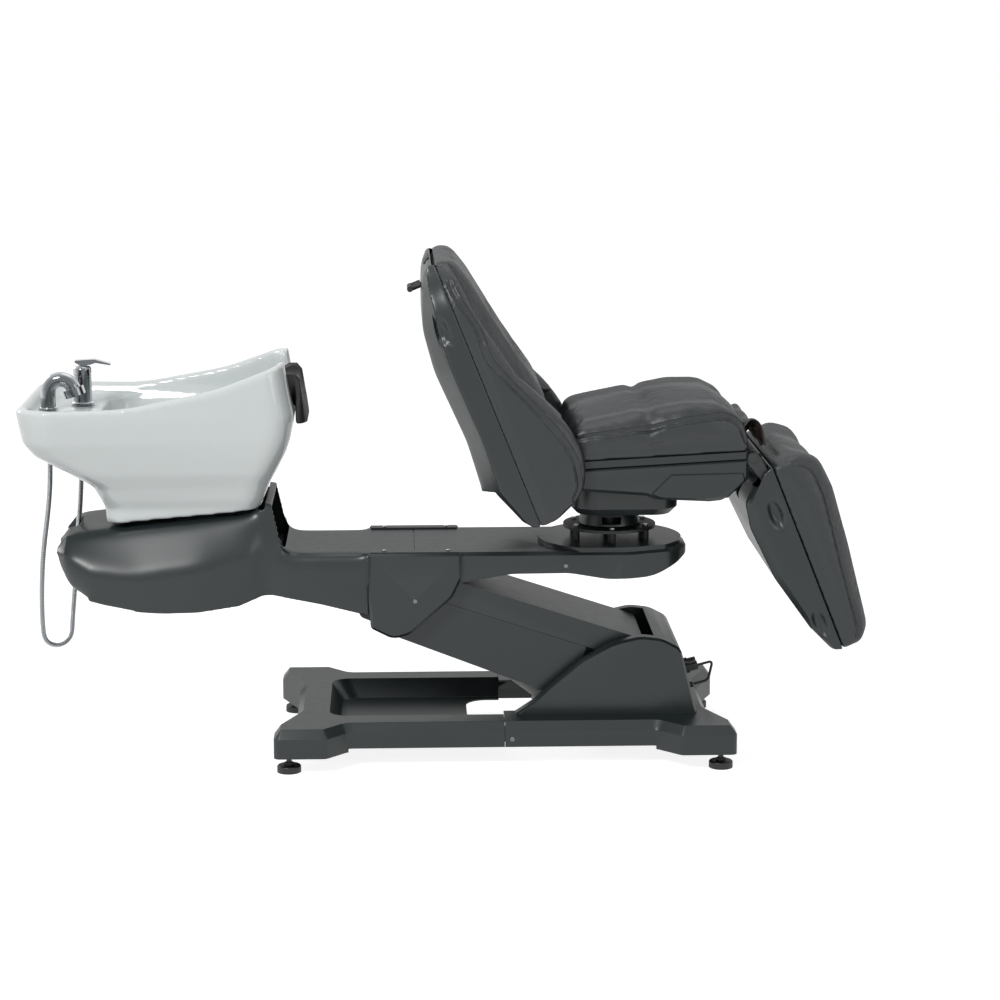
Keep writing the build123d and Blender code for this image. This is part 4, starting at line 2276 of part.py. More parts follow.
keep("link_cable", link_cable())

for node_name, node_shape in nodes.items():
    export_step(node_shape, "parts/" + node_name + ".step")
    print(node_name, len(node_shape.solids()), round(node_shape.volume / 1000), "cm3")
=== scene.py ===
import json
import math

import bmesh
import bpy
import numpy as np
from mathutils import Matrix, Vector
from mathutils.bvhtree import BVHTree
from mathutils.kdtree import KDTree


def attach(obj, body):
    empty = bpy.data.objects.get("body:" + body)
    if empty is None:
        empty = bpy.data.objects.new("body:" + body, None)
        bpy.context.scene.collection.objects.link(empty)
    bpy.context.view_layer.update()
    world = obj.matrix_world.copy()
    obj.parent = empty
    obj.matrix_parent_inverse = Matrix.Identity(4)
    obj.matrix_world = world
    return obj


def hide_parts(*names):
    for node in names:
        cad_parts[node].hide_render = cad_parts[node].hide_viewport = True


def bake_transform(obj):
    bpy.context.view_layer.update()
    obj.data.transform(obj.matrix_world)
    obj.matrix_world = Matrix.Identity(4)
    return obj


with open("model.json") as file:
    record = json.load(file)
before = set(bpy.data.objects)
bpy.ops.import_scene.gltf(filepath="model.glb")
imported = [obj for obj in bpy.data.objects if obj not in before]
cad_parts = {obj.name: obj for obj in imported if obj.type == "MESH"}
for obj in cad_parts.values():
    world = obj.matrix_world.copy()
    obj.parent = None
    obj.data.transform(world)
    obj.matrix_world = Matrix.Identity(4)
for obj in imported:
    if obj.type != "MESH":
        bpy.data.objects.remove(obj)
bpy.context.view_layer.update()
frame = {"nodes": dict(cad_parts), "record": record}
nodes = frame["nodes"]

camera = {
    "place": (-0.100, -6.100, 1.715),
    "pitch": 10.64,
    "yaw": 2.23,
    "lens": 96.70,
    "sensor": 36.0,
    "far": 60,
}
light = {
    "ambient": 0.32,
    "floor": (0.60, 0.60, 0.60),
    "floorGlow": 0.86,
    "floorRadius": 14.0,
    "lamps": {
        "key": {"place": (-1.9, -2.9, 3.0), "size": 1.1, "power": 86, "aim": (-0.1, 0.0, 0.55)},
        "fill": {"place": (3.1, -3.2, 1.9), "size": 2.0, "power": 20, "aim": (0.3, 0.0, 0.5)},
        "top": {"place": (0.1, 0.5, 3.6), "size": 2.2, "power": 12, "aim": (0.0, 0.0, 0.4)},
        "rim": {"place": (-3.0, 2.3, 2.0), "size": 1.4, "power": 34, "aim": (-0.2, 0.0, 0.6)},
    },
}


# Surface patterns, one group each, which the materials share

def addNode(tree, kind, inputs=None, **settings):
    node = tree.nodes.new(kind)
    for key, value in settings.items():
        setattr(node, key, value)
    for key, value in (inputs or {}).items():
        socket = node.inputs[key]
        if isinstance(value, bpy.types.NodeSocket):
            tree.links.new(value, socket)
        else:
            socket.default_value = value
    return node


def patternGroup(name, colours, numbers):
    tree = bpy.data.node_groups.new(name, "ShaderNodeTree")
    for label, kind, start in [(c, "NodeSocketColor", (0, 0, 0, 1)) for c in colours] + [
        (n, "NodeSocketFloat", 0.0) for n in numbers
    ]:
        socket = tree.interface.new_socket(name=label, in_out="INPUT", socket_type=kind)
        socket.default_value = start
    for label, kind in (("Colour", "NodeSocketColor"), ("Shine", "NodeSocketFloat"), ("Relief", "NodeSocketVector")):
        tree.interface.new_socket(name=label, in_out="OUTPUT", socket_type=kind)
    return tree, tree.nodes.new("NodeGroupInput").outputs


def closeGroup(tree, colour, shine, relief):
    addNode(tree, "NodeGroupOutput", {"Colour": colour, "Shine": shine, "Relief": relief})
    return tree


def noiseAt(tree, place, scale, detail=3.0, roughness=0.55):
    noise = addNode(tree, "ShaderNodeTexNoise", {
        "Vector": place, "Scale": scale, "Detail": detail, "Roughness": roughness,
    })
    return noise.outputs["Fac"]


def spread(tree, value, low, high, start=0.0, end=1.0):
    ranged = addNode(tree, "ShaderNodeMapRange", {
        "Value": value, "From Min": start, "From Max": end, "To Min": low, "To Max": high,
    })
    return ranged.outputs["Result"]


def added(tree, one, two):
    return addNode(tree, "ShaderNodeMath", {0: one, 1: two}).outputs[0]


def mixColour(tree, factor, one, two):
    mix = addNode(tree, "ShaderNodeMix", {"Factor": factor, 6: one, 7: two}, data_type="RGBA")
    return mix.outputs[2]


def mouldedGrain():
    tree, given = patternGroup("MouldedGrain", ("Base", "Worn"), ("Grain Size", "Grain Depth", "Roughness"))
    place = addNode(tree, "ShaderNodeTexCoord").outputs["Object"]
    fine = noiseAt(tree, place, given["Grain Size"], 4.0)
    broad = noiseAt(tree, place, 5.0, 2.0)
    marks = noiseAt(tree, place, 38.0, 6.0, 0.7)
    pointed = addNode(tree, "ShaderNodeNewGeometry").outputs["Pointiness"]
    edge = spread(tree, pointed, 0.0, 0.5, 0.53, 0.60)
    clouded = mixColour(tree, spread(tree, broad, 0.0, 0.35), given["Base"], given["Worn"])
    colour = mixColour(tree, edge, clouded, given["Worn"])
    shine = added(tree, given["Roughness"], spread(tree, marks, -0.05, 0.06))
    bump = addNode(tree, "ShaderNodeBump", {"Strength": given["Grain Depth"], "Distance": 0.0004, "Height": fine})
    return closeGroup(tree, colour, shine, bump.outputs["Normal"])


def pebbledHide():
    tree, given = patternGroup(
        "PebbledHide", ("Base", "Raised"), ("Pebble Size", "Pebble Depth", "Crease Depth", "Roughness")
    )
    place = addNode(tree, "ShaderNodeTexCoord").outputs["Object"]
    bend = addNode(tree, "ShaderNodeTexNoise", {"Vector": place, "Scale": 90.0})
    warp = addNode(tree, "ShaderNodeVectorMath", {0: bend.outputs["Color"], 3: 0.004}, operation="SCALE")
    warped = addNode(tree, "ShaderNodeVectorMath", {0: place, 1: warp.outputs[0]})
    cells = addNode(tree, "ShaderNodeTexVoronoi", {
        "Vector": warped.outputs[0], "Scale": given["Pebble Size"],
    }, feature="DISTANCE_TO_EDGE")
    pebble = spread(tree, cells.outputs["Distance"], 0.0, 1.0, 0.0, 0.25)
    crease = noiseAt(tree, place, 48.0, 6.0, 0.65)
    broad = noiseAt(tree, place, 7.0, 3.0)
    tone = mixColour(tree, spread(tree, broad, 0.0, 0.75), given["Base"], given["Raised"])
    colour = mixColour(tree, spread(tree, pebble, 0.3, 0.0), tone, given["Base"])
    low = addNode(tree, "ShaderNodeBump", {
        "Strength": given["Crease Depth"], "Distance": 0.0016, "Height": crease,
    })
    top = addNode(tree, "ShaderNodeBump", {
        "Strength": given["Pebble Depth"], "Distance": 0.0003, "Height": pebble,
        "Normal": low.outputs["Normal"],
    })
    shine = added(tree, given["Roughness"], spread(tree, crease, -0.08, 0.10))
    return closeGroup(tree, colour, shine, top.outputs["Normal"])


def glazeWaves():
    tree, given = patternGroup("GlazeWaves", ("Base", "Tint"), ("Wave Depth", "Roughness"))
    place = addNode(tree, "ShaderNodeTexCoord").outputs["Object"]
    colour = mixColour(tree, noiseAt(tree, place, 3.0), given["Base"], given["Tint"])
    bump = addNode(tree, "ShaderNodeBump", {
        "Strength": given["Wave Depth"], "Distance": 0.0006, "Height": noiseAt(tree, place, 22.0, 2.0),
    })
    shine = added(tree, given["Roughness"], spread(tree, noiseAt(tree, place, 60.0), 0.0, 0.04))
    return closeGroup(tree, colour, shine, bump.outputs["Normal"])


def drawnMetal():
    tree, given = patternGroup("DrawnMetal", ("Base", "Shade"), ("Brush Size", "Brush Depth", "Roughness"))
    place = addNode(tree, "ShaderNodeTexCoord").outputs["Object"]
    drawn = addNode(tree, "ShaderNodeMapping", {"Vector": place, "Scale": (1.0, 1.0, 14.0)})
    lines = noiseAt(tree, drawn.outputs["Vector"], given["Brush Size"])
    smudge = noiseAt(tree, place, 45.0)
    colour = mixColour(tree, spread(tree, smudge, 0.0, 0.5), given["Base"], given["Shade"])
    shine = added(tree, given["Roughness"], spread(tree, smudge, -0.03, 0.06))
    bump = addNode(tree, "ShaderNodeBump", {
        "Strength": given["Brush Depth"], "Distance": 0.0003, "Height": lines,
    })
    return closeGroup(tree, colour, shine, bump.outputs["Normal"])


groups = {
    "moulded": mouldedGrain(),
    "hide": pebbledHide(),
    "glaze": glazeWaves(),
    "metal": drawnMetal(),
}


# Where a ramp starts and ends between a face seen square on and one seen edge on, for the mirror level and for the
# painted reflection on chrome
ramps = {"blend": 0.5, "graze": (0.35, 0.80), "dark": (0.06, 0.45)}


def finishOf(name, group, pattern, shader=None, graze=None, dark=None):
    # graze: the mirror level square on and edge on; the colour after it is a painted reflection: a dark tone painted
    # on faces seen square on, in place of the dark room they would mirror
    made = bpy.data.materials.new(name)
    made.use_nodes = True
    tree = made.node_tree
    tree.nodes.clear()
    surface = addNode(tree, "ShaderNodeGroup", node_tree=groups[group])
    for key, value in pattern.items():
        surface.inputs[key].default_value = (*value, 1.0) if isinstance(value, tuple) else value
    colour = surface.outputs["Colour"]
    inputs = dict(shader or {})
    if graze or dark:
        facing = addNode(tree, "ShaderNodeLayerWeight", {"Blend": ramps["blend"]}).outputs["Facing"]
    if graze:
        inputs["Specular IOR Level"] = spread(tree, facing, *graze, *ramps["graze"])
    # Painted reflection: faces seen square on take the dark colour, and faces seen edge on keep the metal's own
    # colour
    if dark:
        colour = mixColour(tree, spread(tree, facing, 0.0, 1.0, *ramps["dark"]), (*dark, 1.0), colour)
    body = addNode(tree, "ShaderNodeBsdfPrincipled", {
        "Base Color": colour, "Roughness": surface.outputs["Shine"], "Normal": surface.outputs["Relief"], **inputs,
    })
    addNode(tree, "ShaderNodeOutputMaterial", {"Surface": body.outputs[0]})
    return made


def plastic(name, base, worn, roughness, grain=(900.0, 0.10)):
    return finishOf(name, "moulded", {
        "Base": base, "Worn": worn, "Roughness": roughness, "Grain Size": grain[0], "Grain Depth": grain[1],
    }, graze=(0.5, 0.05))


def hide(name, base, raised, roughness):
    return finishOf(name, "hide", {
        "Base": base, "Raised": raised, "Roughness": roughness, "Pebble Size": 620.0, "Pebble Depth": 0.30,
        "Crease Depth": 0.35,
    }, {"Sheen Weight": 0.03, "Sheen Roughness": 0.5}, (0.6, 0.05))


# The last colour, where one is given, is a painted reflection, dark on faces seen square on
def metal(name, base, shade, roughness, brush, dark=None):
    return finishOf(name, "metal", {
        "Base": base, "Shade": shade, "Roughness": roughness, "Brush Size": 300.0, "Brush Depth": brush,
    }, {"Metallic": 1.0}, None, dark)


finishes = {
    "shell": plastic("SatinShell", (0.013, 0.019, 0.020), (0.030, 0.038, 0.039), 0.31),
    "shellDark": plastic("DarkTrim", (0.009, 0.012, 0.013), (0.022, 0.027, 0.028), 0.42),
    "frame": plastic("PowderCoat", (0.012, 0.014, 0.015), (0.03, 0.033, 0.034), 0.45, (420.0, 0.2)),
    "white": plastic("WhiteHousing", (0.50, 0.51, 0.49), (0.60, 0.60, 0.58), 0.4),
    "black": plastic("BlackPlastic", (0.006, 0.006, 0.006), (0.02, 0.02, 0.02), 0.4),
    "rubber": plastic("MattRubber", (0.006, 0.006, 0.0065), (0.015, 0.015, 0.015), 0.6, (1400.0, 0.25)),
    "board": plastic("PaintedBoard", (0.02, 0.018, 0.015), (0.04, 0.035, 0.03), 0.8, (300.0, 0.3)),
    "thread": plastic("Thread", (0.004, 0.005, 0.006), (0.012, 0.014, 0.015), 0.7, (2600.0, 0.4)),
    "leather": hide("SeatLeather", (0.007, 0.011, 0.013), (0.015, 0.021, 0.023), 0.36),
    "lining": hide("FlapLining", (0.045, 0.024, 0.015), (0.08, 0.045, 0.028), 0.6),
    "ceramic": finishOf("BasinGlaze", "glaze", {
        "Base": (0.70, 0.74, 0.735), "Tint": (0.66, 0.71, 0.705), "Roughness": 0.07, "Wave Depth": 0.05,
    }, {"Coat Weight": 0.15, "Coat Roughness": 0.03}, (0.5, 0.10)),
    # Chrome's last colour is a painted reflection, dark where the metal faces the camera
    "chrome": metal("PolishedChrome", (0.60, 0.61, 0.62), (0.42, 0.44, 0.46), 0.07, 0.01, (0.15, 0.16, 0.17)),
    "steel": metal("BrushedSteel", (0.36, 0.37, 0.38), (0.22, 0.23, 0.24), 0.28, 0.12),
    "alloy": metal("DrawnAlloy", (0.55, 0.56, 0.57), (0.42, 0.43, 0.44), 0.3, 0.08),
}


# Mesh helpers

def newObject(name, mesh, finish):
    made = bpy.data.objects.new(name, mesh)
    bpy.context.scene.collection.objects.link(made)
    made.data.materials.clear()
    made.data.materials.append(finishes[finish])
    return made


def onlySelect(made):
    bpy.ops.object.select_all(action="DESELECT")
    made.select_set(True)
    bpy.context.view_layer.objects.active = made


def applyModifiers(made):
    onlySelect(made)
    for modifier in list(made.modifiers):
        bpy.ops.object.modifier_apply(modifier=modifier.name)


def smoothByAngle(made, angle):
    made.data.shade_smooth()
    made.data.set_sharp_from_angle(angle=math.radians(angle))


def mergedMesh(node, flat=0.4):
    # A clean copy of a CAD node's triangles, with its flat faces joined up
    form = bmesh.new()
    form.from_mesh(nodes[node].data)
    bmesh.ops.remove_doubles(form, verts=form.verts, dist=0.00002)
    bmesh.ops.dissolve_limit(
        form, angle_limit=math.radians(flat), verts=form.verts, edges=form.edges, delimit={"NORMAL"}
    )
    mesh = bpy.data.meshes.new(node + "_form")
    form.to_mesh(mesh)
    form.free()
    return mesh


def skinOf(node, finish, bevel, angle=28.0, segments=2):
    # The CAD shape with its sharp edges broken, as a moulded piece has them
    made = newObject(node + "_skin", mergedMesh(node), finish)
    smoothByAngle(made, angle)
    edges = made.modifiers.new("Edges", "BEVEL")
    edges.width = bevel
    edges.segments = segments
    edges.limit_method = "ANGLE"
    edges.angle_limit = math.radians(angle)
    edges.harden_normals = True
    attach(made, bodyOf(node))
    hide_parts(node)
    return made


def sharpEdgePoints(mesh, angle, step):
    # Points along the edges where two faces meet at more than an angle
    form = bmesh.new()
    form.from_mesh(mesh)
    spots = []
    for edge in form.edges:
        if len(edge.link_faces) != 2 or edge.calc_face_angle(0.0) > angle:
            one, two = (vert.co for vert in edge.verts)
            count = max(1, int((two - one).length / step))
            spots += [one.lerp(two, part / count) for part in range(count + 1)]
    form.free()
    return spots


easing = {"merge": 0.1, "spots": 0.004, "levels": 8, "factor": 0.5, "smooth": 50}


def eased(node, finish, values):
    # A cover of one flowing form: drawn anew in small faces and eased, but not at its crisp edges
    start = mergedMesh(node, easing["merge"])
    crisp = values.get("crisp")
    spots = sharpEdgePoints(start, math.radians(crisp), easing["spots"]) if crisp else []
    made = newObject(node + "_skin", start, finish)
    remesh = made.modifiers.new("Voxels", "REMESH")
    remesh.mode = "VOXEL"
    remesh.voxel_size = values["voxel"]
    applyModifiers(made)
    free = made.vertex_groups.new(name="Free")
    coords = coordsOf(made.data)
    share = np.ones(len(coords))
    if spots:
        finder = KDTree(len(spots))
        for index, spot in enumerate(spots):
            finder.insert(spot, index)
        finder.balance()
        away = np.array([finder.find(place)[2] for place in coords])
        share = np.clip((away - values["keep"]) / values["keep"], 0.0, 1.0)
    levels = easing["levels"]
    for level in range(1, levels + 1):
        chosen = np.nonzero(np.round(share * levels) == level)[0]
        if len(chosen):
            free.add([int(v) for v in chosen], level / levels, "REPLACE")
    ease = made.modifiers.new("Ease", "SMOOTH")
    ease.factor = easing["factor"]
    ease.iterations = values["ease"]
    ease.vertex_group = "Free"
    faces = len(made.data.polygons) * 2
    if faces > values["faces"]:
        fewer = made.modifiers.new("Fewer", "DECIMATE")
        fewer.ratio = values["faces"] / faces
    applyModifiers(made)
    made.vertex_groups.clear()
    smoothByAngle(made, easing["smooth"])
    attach(made, bodyOf(node))
    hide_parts(node)
    print("eased", node, faces, len(made.data.polygons))
    return made


def dented(made, values):
    # Finger recesses: both faces of the wall pushed in together, on each side
    coords = coordsOf(made.data)
    along = np.array(values["along"])
    for place in values["places"]:
        for side in (-1, 1):
            away = coords - np.array((place[0], side * place[1], place[2]))
            run = away @ along
            across = np.linalg.norm((away - run[:, None] * along)[:, (0, 2)], axis=1)
            close = np.abs(away[:, 1]) < values["wall"]
            share = np.exp(-((run / values["reach"][0]) ** 2 + (across / values["reach"][1]) ** 2) ** 2) * close
            coords[:, 1] -= side * values["depth"] * share
    setCoords(made.data, coords)


def bodyOf(node):
    for body, members in frame["record"]["behaviour"]["bodies"].items():
        if node in members:
            return body
    return "base"


def repaint(finish, *names):
    for name in names:
        mesh = nodes[name].data
        mesh.materials.clear()
        mesh.materials.append(finishes[finish])


def resampled(points, step):
    # Points an even step apart along a polyline
    path = [Vector(p) for p in points]
    out = [path[0].copy()]
    carry = 0.0
    for one, two in zip(path, path[1:]):
        run = two - one
        length = run.length
        if length < 1e-9:
            continue
        at = step - carry
        while at <= length:
            out.append(one + run * (at / length))
            at += step
        carry = length - (at - step)
    return out


def curvedThrough(points, count=8):
    # A smooth line through a few given points
    path = [Vector(p) for p in points]
    total = len(path)
    out = []
    for index in range(total - 1):
        p0 = path[index - 1] if index else path[0] * 2 - path[1]
        p1 = path[index]
        p2 = path[index + 1]
        p3 = path[index + 2] if index + 2 < total else path[-1] * 2 - path[-2]
        for part in range(count):
            t = part / count
            a = p1 * 2
            b = (p2 - p0) * t
            c = (p0 * 2 - p1 * 5 + p2 * 4 - p3) * t ** 2
            d = (p1 * 3 - p0 - p2 * 3 + p3) * t ** 3
            out.append((a + b + c + d) * 0.5)
    out.append(path[-1])
    return out


def tubeMesh(name, path, radii, sides):
    # A tube whose rings stand square to its path
    rings = []
    total = len(path)
    turn = None
    for index, point in enumerate(path):
        before = path[max(index - 1, 0)]
        after = path[min(index + 1, total - 1)]
        heading = (after - before).normalized()
        if turn is None:
            turn = heading.orthogonal().normalized()
        turn = (turn - heading * turn.dot(heading)).normalized()
        across = heading.cross(turn)
        radius = radii[index]
        ring = []
        for side in range(sides):
            angle = 2 * math.pi * side / sides
            ring.append(point + (turn * math.cos(angle) + across * math.sin(angle)) * radius)
        rings.append(ring)
    verts = [tuple(p) for ring in rings for p in ring]
    faces = []
    for index in range(total - 1):
        here = index * sides
        there = here + sides
        for side in range(sides):
            nxt = (side + 1) % sides
            faces.append((here + side, here + nxt, there + nxt, there + side))
    faces.append(tuple(range(sides - 1, -1, -1)))
    faces.append(tuple(range((total - 1) * sides, total * sides)))
    mesh = bpy.data.meshes.new(name)
    mesh.from_pydata(verts, [], faces)
    mesh.shade_smooth()
    return mesh


def coordsOf(mesh):
    flat = np.empty(len(mesh.vertices) * 3, np.float32)
    mesh.vertices.foreach_get("co", flat)
    return flat.reshape(-1, 3).astype(float)


def setCoords(mesh, coords):
    mesh.vertices.foreach_set("co", coords.astype(np.float32).ravel())
    mesh.update()


def normalsOf(mesh):
    flat = np.empty(len(mesh.vertices) * 3, np.float32)
    mesh.vertex_normals.foreach_get("vector", flat)
    return flat.reshape(-1, 3).astype(float)


def surfaceTree(mesh):
    return BVHTree.FromPolygons(
        [v.co for v in mesh.vertices], [tuple(p.vertices) for p in mesh.polygons]
    )


def laidOn(tree, points, lift=0.0):
    # The points pulled onto a surface, with its normals there
    out = []
    for point in points:
        spot, normal, _, _ = tree.find_nearest(point)
        out.append((spot + normal * lift, normal))
    return out


# Upholstery

upholstery = {
    "merge": 0.1, "drawn": 0.0028, "quality": 5, "mass": 0.4, "tension": 18, "bending": 0.6, "last": 30, "frames": 16,
    "step": 0.0012, "reach": 3, "pitch": 0.0052, "length": 0.0040, "radius": 0.0008, "fill": 0.7,
}
# Each wave of the pleats: its strength, its turns along the seam, and its shift
pleatWaves = {"first": 210, "wander": (1.7, 37), "second": (0.6, 97, 2)}


def remeshed(made, voxel, smooth):
    remesh = made.modifiers.new("Voxels", "REMESH")
    remesh.mode = "VOXEL"
    remesh.voxel_size = voxel
    soften = made.modifiers.new("Soften", "SMOOTH")
    soften.factor = 0.5
    soften.iterations = smooth
    applyModifiers(made)


def seated(made, values):
    # The lower edge drawn down to the shell that carries the pad
    coords = coordsOf(made.data)
    normal = np.array(Vector(values["base"][1]).normalized())
    height = (coords - np.array(values["base"][0])) @ normal
    share = np.clip(1.0 - height / values["hold"], 0.0, 1.0)
    setCoords(made.data, coords - normal * (upholstery["drawn"] * share)[:, None])


def inflated(made, values):
    # Stuffing pressed out by a short cloth simulation, held back to a cap
    rest = coordsOf(made.data)
    cloth = made.modifiers.new("Stuffing", "CLOTH")
    settings = cloth.settings
    settings.quality = upholstery["quality"]
    settings.mass = upholstery["mass"]
    settings.tension_stiffness = upholstery["tension"]
    settings.compression_stiffness = upholstery["tension"]
    settings.bending_stiffness = upholstery["bending"]
    settings.use_pressure = True
    settings.uniform_pressure_force = values["pressure"]
    settings.effector_weights.gravity = 0.0
    cloth.collision_settings.use_collision = False
    scene = bpy.context.scene
    scene.frame_start = 1
    scene.frame_end = upholstery["last"]
    cloth.point_cache.frame_end = upholstery["last"]
    for number in range(1, upholstery["frames"]):
        scene.frame_set(number)
    graph = bpy.context.evaluated_depsgraph_get()
    moved = coordsOf(made.evaluated_get(graph).data)
    made.modifiers.remove(cloth)
    scene.frame_set(1)
    shift = moved - rest
    shift -= shift.mean(0)
    length = np.linalg.norm(shift, axis=1, keepdims=True)
    shift *= np.minimum(1.0, values["cap"] / np.maximum(length, 1e-9))
    plane, normal = Vector(values["base"][0]), Vector(values["base"][1]).normalized()
    height = (rest - np.array(plane)) @ np.array(normal)
    hold = np.clip((height - values["hold"]) / values["hold"], 0, 1)
    setCoords(made.data, rest + shift * hold[:, None])


def sewn(made, seams):
    # Seams drawn in along their lines, with small pleats that run out from them
    mesh = made.data
    coords = coordsOf(mesh)
    normals = normalsOf(mesh)
    tree = surfaceTree(mesh)
    push = np.zeros(len(coords))
    step = upholstery["step"]
    strength, turns, shift = pleatWaves["second"]
    bend, wander = pleatWaves["wander"]
    for seam in seams:
        line = [spot for spot, _ in laidOn(tree, resampled(seam["line"], step))]
        finder = KDTree(len(line))
        for index, spot in enumerate(line):
            finder.insert(spot, index)
        finder.balance()
        reach = max(seam["width"], seam["pleatReach"]) * upholstery["reach"]
        low = np.min([tuple(p) for p in line], axis=0) - reach
        high = np.max([tuple(p) for p in line], axis=0) + reach
        near = np.nonzero(np.all((coords > low) & (coords < high), axis=1))[0]
        ends = len(line) - 1
        for vertex in near:
            _, index, away = finder.find(coords[vertex])
            along = index * step
            fade = min(1.0, along / seam["fade"], (ends - index) * step / seam["fade"])
            push[vertex] -= seam["depth"] * fade * math.exp(-(away / seam["width"]) ** 2)
            wave = math.sin(along * pleatWaves["first"] + bend * math.sin(along * wander))
            wave += strength * math.sin(along * turns + shift)
            push[vertex] += seam["pleats"] * wave * math.exp(-away / seam["pleatReach"]) * fade
    setCoords(mesh, coords + normals * push[:, None])


# One stitch: its sides, its rings as share along and size, how deep it lies, and the runs that are left out
stitch = {
    "sides": 6, "rings": ((0.0, 0.35), (0.2, 1.0), (0.8, 1.0), (1.0, 0.35)), "lift": 0.35, "dip": 0.6,
    "runs": (0.3, 1.6), "spacing": 0.006,
}


def stitched(name, tree, lines, body):
    # Thread stitches that lie on the leather along each line
    pitch, length, radius = (upholstery[key] for key in ("pitch", "length", "radius"))
    sides, rings = stitch["sides"], stitch["rings"]
    verts, faces = [], []
    for line in lines:
        spots = laidOn(tree, resampled(line, pitch), radius * stitch["lift"])
        for (one, normal), (two, _) in zip(spots, spots[1:]):
            heading = two - one
            if heading.length > pitch * stitch["runs"][1] or heading.length < pitch * stitch["runs"][0]:
                continue
            heading.normalize()
            across = heading.cross(normal).normalized()
            start = len(verts)
            for share, size in rings:
                middle = one + heading * length * share - normal * radius * (stitch["dip"] if size < 1 else 0.0)
                for side in range(sides):
                    angle = 2 * math.pi * side / sides
                    verts.append(tuple(
                        middle + (across * math.cos(angle) + normal * math.sin(angle)) * radius * size
                    ))
            last = sides * (len(rings) - 1)
            for a in range(start, start + last, sides):
                for side in range(sides):
                    nxt = (side + 1) % sides
                    faces.append((a + side, a + nxt, a + sides + nxt, a + sides + side))
            faces.append(tuple(start + k for k in range(sides - 1, -1, -1)))
            faces.append(tuple(start + last + k for k in range(sides)))
    mesh = bpy.data.meshes.new(name)
    mesh.from_pydata(verts, [], faces)
    mesh.shade_smooth()
    thread = newObject(name, mesh, "thread")
    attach(thread, body)
    return thread


def offsetLine(tree, line, shift):
    # A line laid on the surface, moved sideways along it
    spots = laidOn(tree, resampled(line, stitch["spacing"]))
    out = []
    for index, (spot, normal) in enumerate(spots):
        after = spots[min(index + 1, len(spots) - 1)][0]
        before = spots[max(index - 1, 0)][0]
        heading = (after - before).normalized()
        out.append(spot + heading.cross(normal).normalized() * shift)
    return out


def cushion(node, values):
    # One upholstered piece: remeshed from the CAD form, stuffed, sewn and stitched
    made = newObject(node + "_pad", mergedMesh(node, upholstery["merge"]), "leather")
    remeshed(made, values["voxel"], values["smooth"])
    seated(made, values)
    inflated(made, values)
    finer = made.modifiers.new("Finer", "SUBSURF")
    finer.levels = 1
    finer.render_levels = 1
    applyModifiers(made)
    tree = surfaceTree(made.data)
    sewn(made, values["seams"])
    made.data.shade_smooth()
    body = bodyOf(node)
    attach(made, body)
    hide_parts(node)
    lines = [offsetLine(tree, seam["line"], shift) for seam in values["seams"] for shift in seam["stitches"]]
    if lines:
        thread = stitched(node + "_stitches", tree, lines, body)
    print("cushion", node, len(made.data.polygons))
    return made


# Camera, light and floor

def aimed(made, target):
    heading = Vector(target) - made.location
    made.rotation_euler = heading.to_track_quat("-Z", "Y").to_euler()


def cameraRig():
    data = bpy.data.cameras.new("Camera")
    data.lens = camera["lens"]
    data.sensor_width = camera["sensor"]
    data.clip_end = camera["far"]
    made = bpy.data.objects.new("Camera", data)
    made.location = camera["place"]
    made.rotation_euler = (math.radians(90 - camera["pitch"]), 0.0, math.radians(-camera["yaw"]))
    bpy.context.scene.collection.objects.link(made)
    bpy.context.scene.camera = made


def lightRig():
    for name, values in light["lamps"].items():
        data = bpy.data.lights.new(name, "AREA")
        data.shape = "DISK"
        data.size = values["size"]
        data.energy = values["power"]
        made = bpy.data.objects.new(name, data)
        made.location = values["place"]
        bpy.context.scene.collection.objects.link(made)
        aimed(made, values["aim"])


def seenDirectly(tree):
    # One where a ray comes from the camera or by way of a mirror or glass
    path = addNode(tree, "ShaderNodeLightPath")
    seen = added(tree, path.outputs["Is Camera Ray"], path.outputs["Is Glossy Ray"])
    seen = added(tree, seen, path.outputs["Is Transmission Ray"])
    return addNode(tree, "ShaderNodeClamp", {"Value": seen}).outputs[0]


def whiteRoom():
    world = bpy.data.worlds.new("World")
    bpy.context.scene.world = world
    world.use_nodes = True
    tree = world.node_tree
    tree.nodes.clear()
    soft = addNode(tree, "ShaderNodeBackground", {"Color": (1, 1, 1, 1), "Strength": light["ambient"]})
    plain = addNode(tree, "ShaderNodeBackground", {"Color": (1, 1, 1, 1), "Strength": 1.0})
    mixed = addNode(tree, "ShaderNodeMixShader", {0: seenDirectly(tree), 1: soft.outputs[0], 2: plain.outputs[0]})
    addNode(tree, "ShaderNodeOutputWorld", {"Surface": mixed.outputs[0]})


def floorPlane():
    bpy.ops.object.select_all(action="DESELECT")
    bpy.ops.mesh.primitive_circle_add(vertices=96, radius=light["floorRadius"], fill_type="NGON")
    made = bpy.context.object
    made.name = "Floor"
    paper = bpy.data.materials.new("StudioFloor")
    paper.use_nodes = True
    tree = paper.node_tree
    tree.nodes.clear()
    ground = addNode(tree, "ShaderNodeBsdfDiffuse", {"Color": (*light["floor"], 1)})
    glow = addNode(tree, "ShaderNodeEmission", {"Color": (1, 1, 1, 1), "Strength": light["floorGlow"]})
    both = addNode(tree, "ShaderNodeAddShader", {0: ground.outputs[0], 1: glow.outputs[0]})
    mixed = addNode(tree, "ShaderNodeMixShader", {0: seenDirectly(tree), 1: ground.outputs[0], 2: both.outputs[0]})
    addNode(tree, "ShaderNodeOutputMaterial", {"Surface": mixed.outputs[0]})
    made.data.materials.append(paper)


cameraRig()
lightRig()
whiteRoom()
floorPlane()
bpy.context.scene.view_settings.view_transform = "Standard"


# Hose and cable

